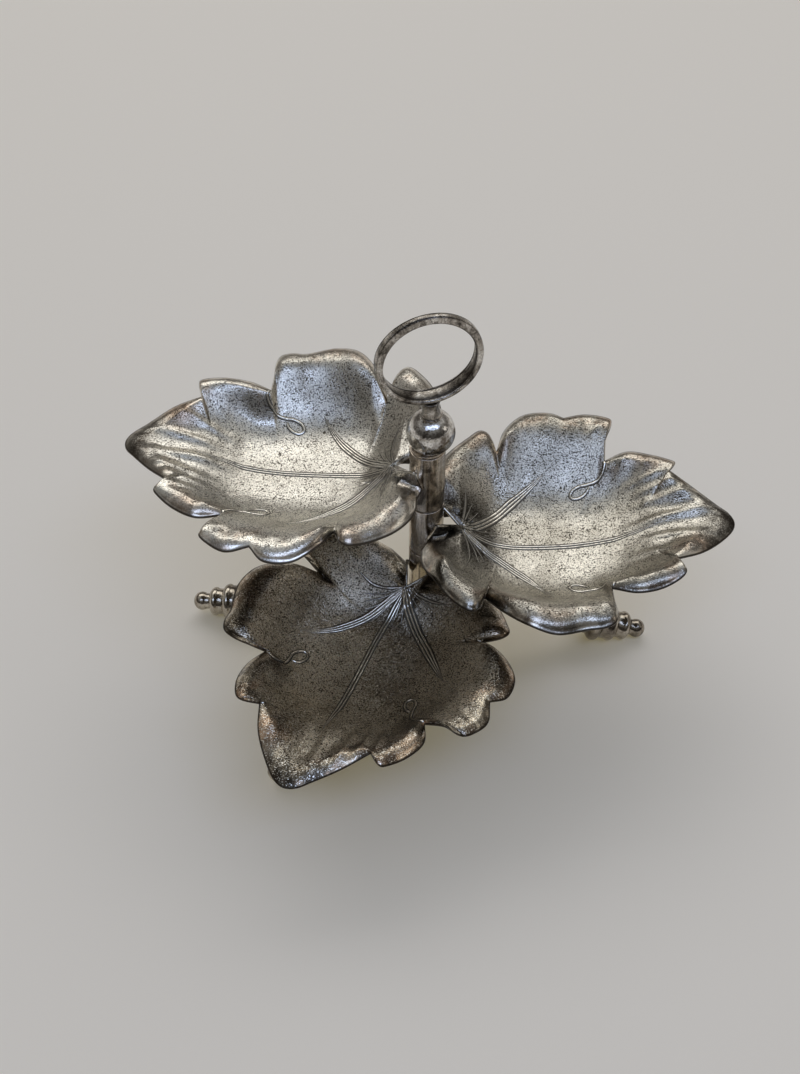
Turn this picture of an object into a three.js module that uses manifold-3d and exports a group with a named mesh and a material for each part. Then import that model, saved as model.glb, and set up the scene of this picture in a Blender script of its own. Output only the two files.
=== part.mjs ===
// Three-section serving tray: three vine-leaf dishes that turn about one column on three beaded legs.
// Millimetres, +Z up. The origin is the centre of the base nut's flat underside, on the column's axis.

import * as THREE from 'three';
import * as BufferGeometryUtils from 'three/addons/utils/BufferGeometryUtils.js';
import Module from 'manifold-3d';

const wasm = await Module();
wasm.setup();

// Clearances
const seatGap = 0.3;             // between pieces that rest on each other
const runningGap = 0.35;         // round the tie rod

// Column
const columnRadius = 9.4;
const sleeveWall = 1.6;
const sleeveEnd = 3;             // thickness of the bush closed into each end of a sleeve
const edgeBreak = 0.5;           // chamfer on the ends of sleeves and eyes
const lowerSleeveLength = 34.4;
const middleSleeveLength = 34.5;
const upperSleeveLength = 39.7;
const rodRadius = 4;
const washerThickness = 0.6;
const baseWasherThickness = 1;
const capWasherThickness = 1.2;
const springWasherThickness = 1.2;
const nutInset = 0.8;            // how far the nut stands inside the column's outline
const nutBevel = 1.5;
const nutHeight = 12;
const nutFloor = 2;
const restHeight = 2;            // the nut's underside stands this far above the table

// Ball, neck and finger ring
const ballRadius = 12.5;
const ballLean = 1.6;            // the ball was soldered this far off the column's axis
const neckLean = 1.1;
const ballSeatRadius = 7.6;      // flat at the bottom of the ball
const rodInBall = 11;            // depth of the rod's bore in the ball
const studRadius = 2.5;
const studLength = 6;
const neckRadius = 4.3;
const neckFlare = 5.6;
const neckCove = 1.4;            // height of the cove above the neck's foot
const neckHeight = 10.4;         // from the top of the ball to the bottom of the ring
const ringOuterRadius = 26.9;
const ringThicknessTop = 4.4;
const ringThicknessBottom = 2.8;
const ringWidthTop = 4.2;
const ringWidthBottom = 9.5;
const ringTurn = 13.9;           // degrees that the ring stands out of line with the front
// Half of the ring's section: [share of the thickness from the inner face, share of half the width]
const ringSection = [[0, 0.6], [0.15, 1], [0.65, 1], [0.88, 0.86], [1, 0.45]];

// Legs: graduated beads turned on a tapering arm
const eyeHeight = 8;
const spigotRadius = 2.2;        // the arm's end is turned down and pressed into the eye
const spigotDepth = 3.2;
const beadRadii = [5.4, 8.4, 10.6, 12, 9.4];
const beadHalfLengths = [5, 4.3, 4.9, 5.5, 4.4];
const beadPitch = 0.9;           // share of two half lengths between neighbouring beads' centres
const beadNeck = 0.8;            // how far a groove between two beads lies inside the smaller one
const armRadiusOuter = 5;
const armRadiusInner = 3.6;
const armShoulder = 3;           // from the last bead to where the arm is at its thickest
const footWear = 0.5;            // depth of the flat worn on the bead that a leg stands on
const leftLegReach = 132.4;      // from the column's axis to the middle of the tip bead
const frontLegReach = 129.8;
const rightLegReach = 124;
const legs = [
  { side: 'left', bearing: 173.3, reach: leftLegReach },
  { side: 'front', bearing: 231.1, reach: frontLegReach },
  { side: 'right', bearing: 358.6, reach: rightLegReach },
];

// Dishes
const leafLength = 166;          // from the column's axis to the tip; the leaf's pattern is drawn at this size
const leafDepth = 32;            // from the top of the sleeve to the bottom of the bowl
const leafThickness = 1.6;
const leafSeats = {
  // pitch and roll are how far, in degrees, each dish was soldered or bent out of level
  upper: { bearing: 170.5, pitch: 3.58, roll: 1.48 },
  middle: { bearing: 0, pitch: -0.34, roll: -0.45 },
  lower: { bearing: 245.7, pitch: -3.12, roll: -1.13 },
};
const earStart = 55;             // degrees round the column where each ear starts, from the leaf's middle
const earEndLeft = 78;
const earEndRight = 84;
const earTop = -11;              // heights of an ear's two ends, from the top of the sleeve
const earBottomLeft = -20.6;
const earBottomRight = -19;
const earSink = 1.4;             // the ears run this far into the sleeve before they are cut to fit it
const edgeLip = 0.4;             // the least rise and roll of the margin, at the ears and notches
const edgeRoll = 3;
const bowlExponentLeft = 1.7;    // how flat the bowl is in the middle before its wall climbs
const bowlExponentRight = 2.5;
const halfLobeWidth = 60;        // distance from the midrib at which a side's own exponent holds
const bowlSpread = 15;           // width over which the bowl's wall evens out between neighbouring ribs
const bowlPull = 6;              // how strongly the longest of those ribs leads
const edgeFade = 13;             // width over which the wall turns from the bowl's shape to the rim's own
const rings = [0.32, 0.56, 0.74, 0.86, 0.94, 1];
const spineStart = 34;           // the ribs leave the midrib between these two places
const spineEnd = 128;
const spineSteps = 20;
const rimStep = 9;               // spacing of points along a straight rim
const rimBend = 5;               // a turn of one radian counts as this much length, so bends get more points

// The leaf's own frame has X along the midrib, from the column to the tip, and Z from the datum that
// lies level with the top of its sleeve. A midrib point is [x, z].
const midrib = [
  [18.4, -18.1], [28, -24.6], [38, -29.7], [56, -31.9], [80, -32],
  [101, -28.6], [113, -23.3], [126, -17.6], [150, -14.6], [166, -14.4],
];

// Rim, from the notch at the column out along the left half to the tip and back along the right half.
// A rim point is [x, y, z, foot, lip, roll]: foot is where its rib leaves the midrib, lip is how far
// the crest behind it stands above the edge, and roll is the width of the margin that rolls down.
// Each stretch is one curve, so a lobe is round and the points where two stretches meet are sharp.
const notchLeft = [[18.4, -2.7, -18.1, 34, 0.4, 3], [12.6, 3.4, -14.6, 35, 0.4, 3]];
const backLobeLeft = [
  [3.2, 20, -19, 38, 4, 7], [2.8, 33, -17, 39, 7, 11], [10, 46.6, -15.6, 40, 6.5, 11],
  [24, 59, -12.4, 41, 4, 9], [31, 62.6, -10, 42, 3, 7], [35.2, 60.8, -10, 42.5, 2, 5],
  [38.2, 55.8, -11.8, 43, 1.5, 4], [40, 50.4, -13.8, 44, 0.4, 3],
];
const sideLobeLeft = [
  [40, 50.4, -13.8, 44, 0.4, 3], [45, 63.5, -11, 49, 4.5, 9], [57, 76, -11.3, 56, 6.5, 12],
  [71, 77, -10.8, 62, 5, 10], [78.9, 70.5, -8.2, 66, 1.5, 4],
];
const sideLobeTipLeft = [
  [78.9, 70.5, -8.2, 66, 1.5, 4], [90.8, 74.2, -9.4, 71, 4, 9], [101.5, 70.3, -7.4, 75, 2.5, 7],
  [105.3, 67, -6.6, 77, 2, 6], [105.2, 63.5, -7.4, 78, 1.8, 5], [101.8, 55.5, -10, 80, 1.5, 4],
  [100.6, 44.1, -15.6, 84, 0.3, 3],
];
const upperLobeLeft = [
  [100.6, 44.1, -15.6, 84, 0.3, 3], [113, 48.9, -14, 94, 4, 9], [126, 45, -12.7, 102, 4.5, 9],
  [135.5, 38.9, -10.3, 107, 2.5, 6], [138, 36.2, -9.3, 108, 2, 5], [137.2, 33.4, -8.6, 109, 1.2, 4],
  [133.9, 28.9, -7.7, 110, 0.4, 3],
];
const leafTip = [
  [133.9, 28.9, -7.7, 110, 0.4, 3], [146.5, 18.8, -11.7, 117, 2.5, 8], [158, 8.2, -14, 123, 2.5, 10],
  [163.8, 2.6, -14.8, 126, 3, 12], [166, -3.3, -15.1, 128, 3, 14], [164.4, -9, -15, 127, 3, 12],
  [157, -17.6, -14.3, 123, 2.5, 10], [144.3, -28.6, -10.8, 116, 2.5, 8], [130.6, -35, -7.7, 110, 0.4, 3],
];
const upperLobeRight = [
  [130.6, -35, -7.7, 110, 0.4, 3], [133.2, -41, -6.4, 108.5, 1.2, 4], [133.8, -44.8, -6, 107.5, 2, 5],
  [131.5, -48, -7, 106, 2.5, 6], [121, -53.2, -10, 99, 4.5, 9], [108, -54, -12.4, 89, 4, 9],
  [95.6, -50, -13.3, 81, 0.3, 3],
];
const sideLobeRight = [
  [95.6, -50, -13.3, 81, 0.3, 3], [96, -59.5, -12.6, 78, 1.5, 4], [96.6, -69, -10.8, 75.5, 2.2, 6],
  [94.8, -74.8, -10.3, 73.5, 3, 7], [89.5, -77.9, -10.8, 71, 4.5, 9], [81, -78.8, -11.5, 67, 6, 11],
  [64, -83, -9.5, 60, 6, 12], [50, -78.6, -7.2, 52, 4.4, 11], [38, -67, -11, 46, 4, 8],
  [29.5, -51.3, -18.6, 42, 0.4, 3],
];
const backLobeRight = [
  [29.5, -51.3, -18.6, 42, 0.4, 3], [28.2, -58.5, -13.6, 40.5, 1.5, 4], [26.4, -65.2, -9.6, 39, 2.5, 6],
  [21.6, -69.2, -7.6, 38, 3.5, 8], [12.4, -62.5, -7.6, 37, 5, 10], [2.6, -48, -7.4, 36, 6, 11],
  [-2.6, -34, -14, 36, 6, 10], [-3.2, -20, -17.8, 35, 4, 7],
];
const notchRight = [[12.8, -5.2, -14.4, 35, 0.4, 3], [18.4, -2.7, -18.1, 34, 0.4, 3]];

const { clamp, degToRad, lerp, radToDeg } = THREE.MathUtils;

// Colours
const silver = 0xb9b5ad;
const darkSilver = 0x8a857c;
const innerMetal = 0x9c958a;

function metal(color, roughness) {
  return new THREE.MeshStandardMaterial({ color, roughness, metalness: 1 });
}

function named(name, geometry, material) {
  const mesh = new THREE.Mesh(geometry, material);
  mesh.name = name;
  return mesh;
}

// Booleans
function toSolid(geometry) {
  const bare = geometry.clone();
  bare.deleteAttribute('normal');
  bare.deleteAttribute('uv');
  const merged = BufferGeometryUtils.mergeVertices(bare, 1e-5);
  const vertProperties = new Float32Array(merged.attributes.position.array);
  const triVerts = new Uint32Array(merged.index.array);
  return new wasm.Manifold(new wasm.Mesh({ numProp: 3, vertProperties, triVerts }));
}

function toGeometry(solid) {
  const mesh = solid.getMesh();
  const geometry = new THREE.BufferGeometry();
  geometry.setAttribute('position', new THREE.BufferAttribute(new Float32Array(mesh.vertProperties), 3));
  geometry.setIndex(Array.from(mesh.triVerts));
  geometry.computeVertexNormals();
  return geometry;
}

// A profile of [radius, height] pairs, turned about Z
function turned(profile, segments) {
  const points = profile.map(([radius, height]) => new THREE.Vector2(radius, height));
  return new THREE.LatheGeometry(points, segments).rotateX(Math.PI / 2);
}

function arcProfile(centre, radius, fromDegrees, toDegrees, steps) {
  const points = [];
  for (let i = 0; i <= steps; i += 1) {
    const angle = degToRad(fromDegrees + ((toDegrees - fromDegrees) * i) / steps);
    points.push([radius * Math.cos(angle), centre + radius * Math.sin(angle)]);
  }
  return points;
}

// Heights of the stack, from the nut up
const boreRadius = rodRadius + runningGap;
const springWasherBottom = nutHeight + seatGap;
const firstEyeBottom = springWasherBottom + springWasherThickness + seatGap;
const eyePitch = eyeHeight + washerThickness + 2 * seatGap;
const eyeBottoms = legs.map((leg, i) => firstEyeBottom + i * eyePitch);
const baseWasherBottom = eyeBottoms[legs.length - 1] + eyeHeight + seatGap;
const lowerSleeveBottom = baseWasherBottom + baseWasherThickness + seatGap;
const lowerSleeveTop = lowerSleeveBottom + lowerSleeveLength;
const middleSleeveBottom = lowerSleeveTop + washerThickness + 2 * seatGap;
const middleSleeveTop = middleSleeveBottom + middleSleeveLength;
const upperSleeveBottom = middleSleeveTop + washerThickness + 2 * seatGap;
const upperSleeveTop = upperSleeveBottom + upperSleeveLength;
const capWasherBottom = upperSleeveTop + seatGap;
const ballBottom = capWasherBottom + capWasherThickness + seatGap;
const ballCentre = ballBottom + Math.sqrt(ballRadius ** 2 - ballSeatRadius ** 2);
const ballTop = ballCentre + ballRadius;
const ringCentre = ballTop + neckHeight + ringOuterRadius;
const rodBottom = nutFloor + seatGap;
const rodTop = ballBottom + rodInBall - seatGap;

function closedRing(outer, inner, bottom, top, segments) {
  return turned([[inner, bottom], [outer, bottom], [outer, top], [inner, top], [inner, bottom]], segments);
}

function washer(name, bottom, thickness, material) {
  const ring = closedRing(columnRadius - edgeBreak, boreRadius, bottom, bottom + thickness, 16);
  return named(name, ring, material);
}

// A sleeve is a tube with a bush in each end; the bushes run on the tie rod
function sleeve(name, bottom, length, material) {
  const top = bottom + length;
  const tube = columnRadius - sleeveWall;
  return named(name, turned([
    [boreRadius, bottom],
    [columnRadius - edgeBreak, bottom],
    [columnRadius, bottom + edgeBreak],
    [columnRadius, top - edgeBreak],
    [columnRadius - edgeBreak, top],
    [boreRadius, top],
    [boreRadius, top - sleeveEnd],
    [tube, top - sleeveEnd],
    [tube, bottom + sleeveEnd],
    [boreRadius, bottom + sleeveEnd],
    [boreRadius, bottom],
  ], 20), material);
}

// The nut is drilled from above and closed underneath
function baseNut() {
  const bore = rodRadius + seatGap;
  const radius = columnRadius - nutInset;
  return turned([
    [0, 0], [radius - nutBevel, 0], [radius, nutBevel], [radius, nutHeight - edgeBreak],
    [radius - edgeBreak, nutHeight], [bore, nutHeight], [bore, nutFloor], [0, nutFloor],
  ], 20);
}

function tieRod() {
  return turned([[0, rodBottom], [rodRadius, rodBottom], [rodRadius, rodTop], [0, rodTop]], 20);
}

// Finial: the rod's bore stays on the column's axis, the stud's lies on the ball's own
function ballFinial() {
  const rodBore = rodRadius + seatGap;
  const studBore = studRadius + seatGap;
  const seatAngle = -radToDeg(Math.acos(ballSeatRadius / ballRadius));
  const topAngle = radToDeg(Math.acos(studBore / ballRadius));
  const ball = turned([
    [0, ballBottom],
    ...arcProfile(ballCentre, ballRadius, seatAngle, topAngle, 10),
    [studBore, ballTop - studLength], [0, ballTop - studLength],
  ], 22).translate(ballLean, 0, 0);
  const bore = turned([
    [0, ballBottom - seatGap], [rodBore, ballBottom - seatGap],
    [rodBore, ballBottom + rodInBall], [0, ballBottom + rodInBall],
  ], 20);
  return toGeometry(toSolid(ball).subtract(toSolid(bore)));
}

function ringNeck() {
  const seat = ballCentre + Math.sqrt((ballRadius + seatGap) ** 2 - neckFlare ** 2);
  const ringBottom = ringCentre - ringOuterRadius;
  const waist = (seat + ringBottom) / 2 + seatGap;
  const head = ringBottom + ringThicknessBottom / 2;
  const studBottom = ballTop - studLength + seatGap;
  const steps = 5;
  const underside = [];
  for (let i = 0; i <= steps; i += 1) {
    const radius = lerp(studRadius, neckFlare, i / steps);
    underside.push([radius, ballCentre + Math.sqrt((ballRadius + seatGap) ** 2 - radius ** 2)]);
  }
  const body = turned([
    [0, studBottom], [studRadius, studBottom], ...underside,
    [neckRadius + edgeBreak, seat + neckCove], [neckRadius, waist], [neckRadius + edgeBreak, ringBottom],
    [neckRadius + 2 * edgeBreak, head], [0, head],
  ], 16).translate(ballLean, 0, 0);
  const bend = (neckLean - ballLean) / (ringBottom - ballTop);
  const position = body.attributes.position;
  for (let i = 0; i < position.count; i += 1) {
    position.setX(i, position.getX(i) + bend * Math.max(0, position.getZ(i) - ballTop));
  }
  const saddle = new THREE.CylinderGeometry(
    ringOuterRadius + seatGap, ringOuterRadius + seatGap, 2 * ringWidthBottom, 96,
  );
  saddle.rotateZ(degToRad(ringTurn));
  saddle.translate(0, 0, ringCentre);
  return toGeometry(toSolid(body).subtract(toSolid(saddle)));
}

// The ring's band is thick and narrow at the top, thin and wide at the bottom
function fingerRing() {
  const half = ringSection.map(([depth, width]) => [ringOuterRadius - 1 + depth, -width]);
  const otherHalf = half.map(([radius, width]) => [radius, -width]).reverse();
  const geometry = turned([...half, ...otherHalf, half[0]], 40);
  const position = geometry.attributes.position;
  for (let i = 0; i < position.count; i += 1) {
    const radius = Math.hypot(position.getX(i), position.getY(i));
    const low = (1 - position.getY(i) / radius) / 2;
    const thickness = lerp(ringThicknessTop, ringThicknessBottom, low);
    const drawn = ringOuterRadius - (ringOuterRadius - radius) * thickness;
    position.setX(i, (position.getX(i) / radius) * drawn);
    position.setY(i, (position.getY(i) / radius) * drawn);
    position.setZ(i, (position.getZ(i) * lerp(ringWidthTop, ringWidthBottom, low)) / 2);
  }
  geometry.rotateX(Math.PI / 2);
  geometry.rotateZ(degToRad(ringTurn));
  geometry.translate(0, 0, ringCentre);
  return geometry;
}

// Beads follow each other from the tip inwards; each centre is its distance from the tip bead's
const beadCentres = beadRadii.map((radius, i) => {
  let distance = 0;
  for (let k = 1; k <= i; k += 1) {
    distance += (beadHalfLengths[k - 1] + beadHalfLengths[k]) * beadPitch;
  }
  return distance;
});
const widestBead = Math.max(...beadRadii);

// The tip bead's height at which the lowest bead just wears flat on the table
function tipHeight(eyeCentre, reach) {
  const passes = 30;
  let height = beadRadii[0] - restHeight;
  for (let pass = 0; pass < passes; pass += 1) {
    const slope = Math.atan2(eyeCentre - height, reach - columnRadius);
    height = -restHeight - footWear;
    beadRadii.forEach((radius, i) => {
      const drop = Math.hypot(radius * Math.cos(slope), beadHalfLengths[i] * Math.sin(slope));
      height = Math.max(height, drop - beadCentres[i] * Math.sin(slope) - restHeight - footWear);
    });
  }
  return height;
}

// Half the outline of the leg, from the tip in to the eye, as [radius, distance from the tip bead]
function legProfile(length) {
  const points = [[0, -beadHalfLengths[0]]];
  beadRadii.forEach((radius, i) => {
    const steps = 4;
    const next = beadRadii[i + 1] ?? armRadiusOuter + beadNeck;
    const grooveAfter = Math.min(radius, next) - beadNeck;
    const before = i === 0 ? 0 : Math.min(radius, beadRadii[i - 1]) - beadNeck;
    const from = Math.asin(Math.min(1, before / radius));
    const to = Math.PI - Math.asin(Math.min(1, grooveAfter / radius));
    for (let k = i === 0 ? 1 : 0; k <= steps; k += 1) {
      const angle = from + ((to - from) * k) / steps;
      points.push([radius * Math.sin(angle), beadCentres[i] - beadHalfLengths[i] * Math.cos(angle)]);
    }
  });
  const last = beadRadii.length - 1;
  points.push([armRadiusOuter, beadCentres[last] + beadHalfLengths[last] + armShoulder]);
  points.push([armRadiusInner, length]);
  points.push([0, length]);
  return points;
}

// A rod along X from one place to another, at a height
function rodAlongX(radius, from, to, height) {
  const rod = new THREE.CylinderGeometry(radius, radius, to - from, 16);
  return rod.rotateZ(Math.PI / 2).translate((from + to) / 2, 0, height);
}

// The eye turns on the tie rod and is drilled from the side for the arm's spigot
function eye(bearing, bottom) {
  const top = bottom + eyeHeight;
  const body = turned([
    [boreRadius, bottom], [columnRadius - edgeBreak, bottom], [columnRadius, bottom + edgeBreak],
    [columnRadius, top - edgeBreak], [columnRadius - edgeBreak, top], [boreRadius, top],
    [boreRadius, bottom],
  ], 20);
  const drilledTo = columnRadius - spigotDepth - seatGap;
  const drilling = rodAlongX(spigotRadius + seatGap, drilledTo, 2 * columnRadius, (bottom + top) / 2);
  return toGeometry(toSolid(body).subtract(toSolid(drilling))).rotateZ(degToRad(bearing));
}

// An arm runs straight from its tip bead to the middle of its eye's side
function arm(bearing, reach, eyeBottom) {
  const eyeCentre = eyeBottom + eyeHeight / 2;
  const tip = tipHeight(eyeCentre, reach);
  const slope = Math.atan2(eyeCentre - tip, reach - columnRadius);
  const length = Math.hypot(reach - columnRadius, eyeCentre - tip) + armRadiusInner;
  const shaft = turned(legProfile(length), 14);
  shaft.rotateY(-Math.PI / 2);
  shaft.rotateY(slope);
  shaft.translate(reach, 0, tip);
  const eyeSpace = turned([
    [0, eyeBottom - eyeHeight], [columnRadius + seatGap, eyeBottom - eyeHeight],
    [columnRadius + seatGap, eyeBottom + 2 * eyeHeight], [0, eyeBottom + 2 * eyeHeight],
  ], 28);
  const spigot = rodAlongX(spigotRadius, columnRadius - spigotDepth, columnRadius + spigotRadius, eyeCentre);
  const table = new THREE.BoxGeometry(2 * reach, 4 * widestBead, 2 * widestBead);
  table.translate(reach, 0, -restHeight - widestBead);
  const solid = toSolid(shaft)
    .subtract(toSolid(eyeSpace))
    .add(toSolid(spigot))
    .subtract(toSolid(table));
  return toGeometry(solid).rotateZ(degToRad(bearing));
}

// Dish: the pattern is drawn out to the leaf's own length and depth
const drawnAlong = leafLength / midrib[midrib.length - 1][0];
const drawnDeep = leafDepth / -Math.min(...midrib.map(([, z]) => z));
const midribSamples = new THREE.CatmullRomCurve3(
  midrib.map(([x, z]) => new THREE.Vector3(x * drawnAlong, 0, z * drawnDeep)), false, 'centripetal',
).getSpacedPoints(200);

function midribHeight(x) {
  const inside = clamp(x, midribSamples[0].x, midribSamples[midribSamples.length - 1].x);
  let i = 1;
  while (i < midribSamples.length - 1 && midribSamples[i].x < inside) {
    i += 1;
  }
  const a = midribSamples[i - 1];
  const b = midribSamples[i];
  return a.z + ((b.z - a.z) * (inside - a.x)) / (b.x - a.x);
}

// A stretch of rim as points, closer together where it bends; its last point belongs to the next stretch
function stretch(points) {
  const path = new THREE.CatmullRomCurve3(
    points.map(([x, y, z]) => new THREE.Vector3(x * drawnAlong, y * drawnAlong, z * drawnDeep)),
    false,
    'centripetal',
  );
  const samples = 30 * (points.length - 1);
  const travelled = [0];
  for (let k = 1; k <= samples; k += 1) {
    const run = path.getPoint(k / samples).distanceTo(path.getPoint((k - 1) / samples));
    const bend = path.getTangent(k / samples).angleTo(path.getTangent((k - 1) / samples));
    travelled.push(travelled[k - 1] + run + rimBend * bend);
  }
  const total = travelled[samples];
  const count = Math.max(1, Math.round(total / rimStep));
  const result = [];
  for (let i = 0; i < count; i += 1) {
    const t = travelled.findIndex((distance) => distance >= (total * i) / count) / samples;
    const along = t * (points.length - 1);
    const from = Math.min(Math.floor(along), points.length - 2);
    const [foot, lip, roll] = [3, 4, 5].map((field) => (
      lerp(points[from][field], points[from + 1][field], along - from)
    ));
    result.push({
      place: path.getPoint(t), foot: foot * drawnAlong, lip: lip * drawnDeep, roll: roll * drawnAlong,
    });
  }
  return result;
}

// The ear's edge lies against the sleeve, from the notch down to the back edge
function ear(side, endDegrees, bottom, foot) {
  const radius = columnRadius - earSink;
  const steps = 4;
  const result = [];
  for (let i = 0; i <= steps; i += 1) {
    const angle = degToRad(lerp(earStart, endDegrees, i / steps)) * side;
    const height = lerp(earTop, bottom, i / steps);
    const place = new THREE.Vector3(radius * Math.cos(angle), radius * Math.sin(angle), height);
    result.push({ place, foot: foot * drawnAlong, lip: edgeLip, roll: edgeRoll });
  }
  return side > 0 ? result : result.reverse();
}

function leafRim() {
  return [
    ...stretch(notchLeft),
    ...ear(1, earEndLeft, earBottomLeft, notchLeft[1][3]),
    ...stretch(backLobeLeft),
    ...stretch(sideLobeLeft),
    ...stretch(sideLobeTipLeft),
    ...stretch(upperLobeLeft),
    ...stretch(leafTip),
    ...stretch(upperLobeRight),
    ...stretch(sideLobeRight),
    ...stretch(backLobeRight),
    ...ear(-1, earEndRight, earBottomRight, notchRight[0][3]),
    ...stretch(notchRight),
  ];
}

function ribLength(point) {
  return Math.hypot(point.place.x - point.foot, point.place.y);
}

function distanceInPlan(a, b) {
  return Math.hypot(a.place.x - b.place.x, a.place.y - b.place.y);
}

// Reach and crest height of the bowl on one rib, taken mostly from the longest ribs nearby, so that a
// notch cuts into the bowl's wall without drawing a crease down into it
function bowlAt(point, rim) {
  let total = 0;
  let reach = 0;
  let rise = 0;
  rim.forEach((other, k) => {
    const before = rim[(k + rim.length - 1) % rim.length];
    const after = rim[(k + 1) % rim.length];
    const spacing = (distanceInPlan(other, before) + distanceInPlan(other, after)) / 2;
    const nearness = Math.exp(-((distanceInPlan(point, other) / (bowlSpread * drawnAlong)) ** 2) / 2);
    const weight = spacing * nearness * ribLength(other) ** bowlPull;
    total += weight;
    reach += weight * (ribLength(other) - other.roll);
    rise += weight * (other.place.z + other.lip);
  });
  return { reach: reach / total, rise: rise / total };
}

// Height of the bowl's plain wall on one rib, at a distance from the midrib
function wallHeight(point, bowl, distance) {
  const length = ribLength(point);
  const bottom = midribHeight(point.foot + ((point.place.x - point.foot) * distance) / length);
  const side = (clamp(point.place.y / (halfLobeWidth * drawnAlong), -1, 1) + 1) / 2;
  const exponent = lerp(bowlExponentRight, bowlExponentLeft, side);
  const climb = (1 - Math.cos(Math.PI * Math.min(1, distance / bowl.reach) ** exponent)) / 2;
  return bottom + (bowl.rise - bottom) * climb;
}

// Height of the dish's upper face on the rib to one rim point, at share u of the rib's length
function dishHeight(point, bowl, u) {
  const length = ribLength(point);
  const along = length * u;
  const crest = Math.max(0.4 * length, length - point.roll);
  const crestHeight = point.place.z + point.lip;
  if (along > crest) {
    return crestHeight - point.lip * ((along - crest) / (length - crest)) ** 2;
  }
  const fade = Math.min(edgeFade * drawnAlong, 0.6 * length);
  const near = THREE.MathUtils.smoothstep(along, crest - fade, crest);
  return wallHeight(point, bowl, along) + (crestHeight - wallHeight(point, bowl, crest)) * near;
}

function leafDish() {
  const rim = leafRim();
  const count = rim.length;
  const bowls = rim.map((point) => bowlAt(point, rim));
  const upper = [];
  rings.forEach((u) => {
    rim.forEach((point, i) => {
      const x = lerp(point.foot, point.place.x, u);
      upper.push(new THREE.Vector3(x, point.place.y * u, dishHeight(point, bowls[i], u)));
    });
  });
  const spineFrom = spineStart * drawnAlong;
  const spineTo = spineEnd * drawnAlong;
  const spine = [];
  for (let k = 0; k <= spineSteps; k += 1) {
    const x = lerp(spineFrom, spineTo, k / spineSteps);
    spine.push(upper.length);
    upper.push(new THREE.Vector3(x, 0, midribHeight(x)));
  }
  const station = ({ foot }) => Math.round(((foot - spineFrom) / (spineTo - spineFrom)) * spineSteps);
  const faces = [];
  for (let i = 0; i < count; i += 1) {
    const next = (i + 1) % count;
    const goal = station(rim[next]);
    let at = station(rim[i]);
    while (at !== goal) {
      const step = Math.sign(goal - at);
      faces.push([spine[at], spine[at + step], i]);
      at += step;
    }
    faces.push([spine[at], next, i]);
    for (let ring = 0; ring < rings.length - 1; ring += 1) {
      const a = ring * count + i;
      const b = ring * count + next;
      faces.push([a, b, a + count], [b, b + count, a + count]);
    }
  }
  const positions = [];
  upper.forEach((p) => positions.push(p.x, p.y, p.z));
  upper.forEach((p) => positions.push(p.x, p.y, p.z - leafThickness));
  const under = upper.length;
  const index = [];
  faces.forEach(([a, b, c]) => {
    index.push(a, b, c);
    index.push(under + a, under + c, under + b);
  });
  const rimStart = (rings.length - 1) * count;
  for (let i = 0; i < count; i += 1) {
    const a = rimStart + i;
    const b = rimStart + ((i + 1) % count);
    index.push(a, b, under + b, a, under + b, under + a);
  }
  const geometry = new THREE.BufferGeometry();
  geometry.setAttribute('position', new THREE.Float32BufferAttribute(positions, 3));
  geometry.setIndex(index);
  geometry.computeVertexNormals();
  return geometry;
}

// Assembly
const tray = new THREE.Group();
const plate = metal(silver, 0.35);
const polished = metal(silver, 0.12);
const darkPlate = metal(darkSilver, 0.3);
const bareMetal = metal(innerMetal, 0.5);

tray.add(named('base_nut', baseNut(), darkPlate));
tray.add(named('tie_rod', tieRod(), bareMetal));
tray.add(washer('spring_washer', springWasherBottom, springWasherThickness, bareMetal));
legs.forEach(({ side, bearing, reach }, i) => {
  tray.add(named(`eye_${side}`, eye(bearing, eyeBottoms[i]), darkPlate));
  tray.add(named(`leg_${side}`, arm(bearing, reach, eyeBottoms[i]), darkPlate));
});
tray.add(washer('leg_washer_lower', eyeBottoms[0] + eyeHeight + seatGap, washerThickness, bareMetal));
tray.add(washer('leg_washer_upper', eyeBottoms[1] + eyeHeight + seatGap, washerThickness, bareMetal));
tray.add(washer('base_washer', baseWasherBottom, baseWasherThickness, bareMetal));
tray.add(sleeve('sleeve_lower', lowerSleeveBottom, lowerSleeveLength, darkPlate));
tray.add(washer('washer_lower', lowerSleeveTop + seatGap, washerThickness, bareMetal));
tray.add(sleeve('sleeve_middle', middleSleeveBottom, middleSleeveLength, darkPlate));
tray.add(washer('washer_upper', middleSleeveTop + seatGap, washerThickness, bareMetal));
tray.add(sleeve('sleeve_upper', upperSleeveBottom, upperSleeveLength, darkPlate));
tray.add(washer('cap_washer', capWasherBottom, capWasherThickness, darkPlate));
tray.add(named('ball_finial', ballFinial(), polished));
tray.add(named('ring_neck', ringNeck(), polished));
tray.add(named('finger_ring', fingerRing(), polished));

const levels = { upper: upperSleeveTop, middle: middleSleeveTop, lower: lowerSleeveTop };
const sleeveSpace = toSolid(new THREE.CylinderGeometry(
  columnRadius + seatGap, columnRadius + seatGap, 4 * leafDepth, 28,
).rotateX(Math.PI / 2));
for (const [level, height] of Object.entries(levels)) {
  const { bearing, pitch, roll } = leafSeats[level];
  const dish = leafDish();
  dish.rotateX(degToRad(roll));
  dish.rotateY(degToRad(pitch));
  const leaf = named(`leaf_${level}`, toGeometry(toSolid(dish).subtract(sleeveSpace)), plate);
  leaf.rotation.z = degToRad(bearing);
  leaf.position.z = height;
  tray.add(leaf);
}

export default tray;
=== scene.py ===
"""Three vine-leaf dishes on one column: detailed pieces, finishes, light and camera."""
import math

import bpy
import numpy as np
from mathutils import Matrix, Vector, noise
from mathutils.bvhtree import BVHTree


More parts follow.
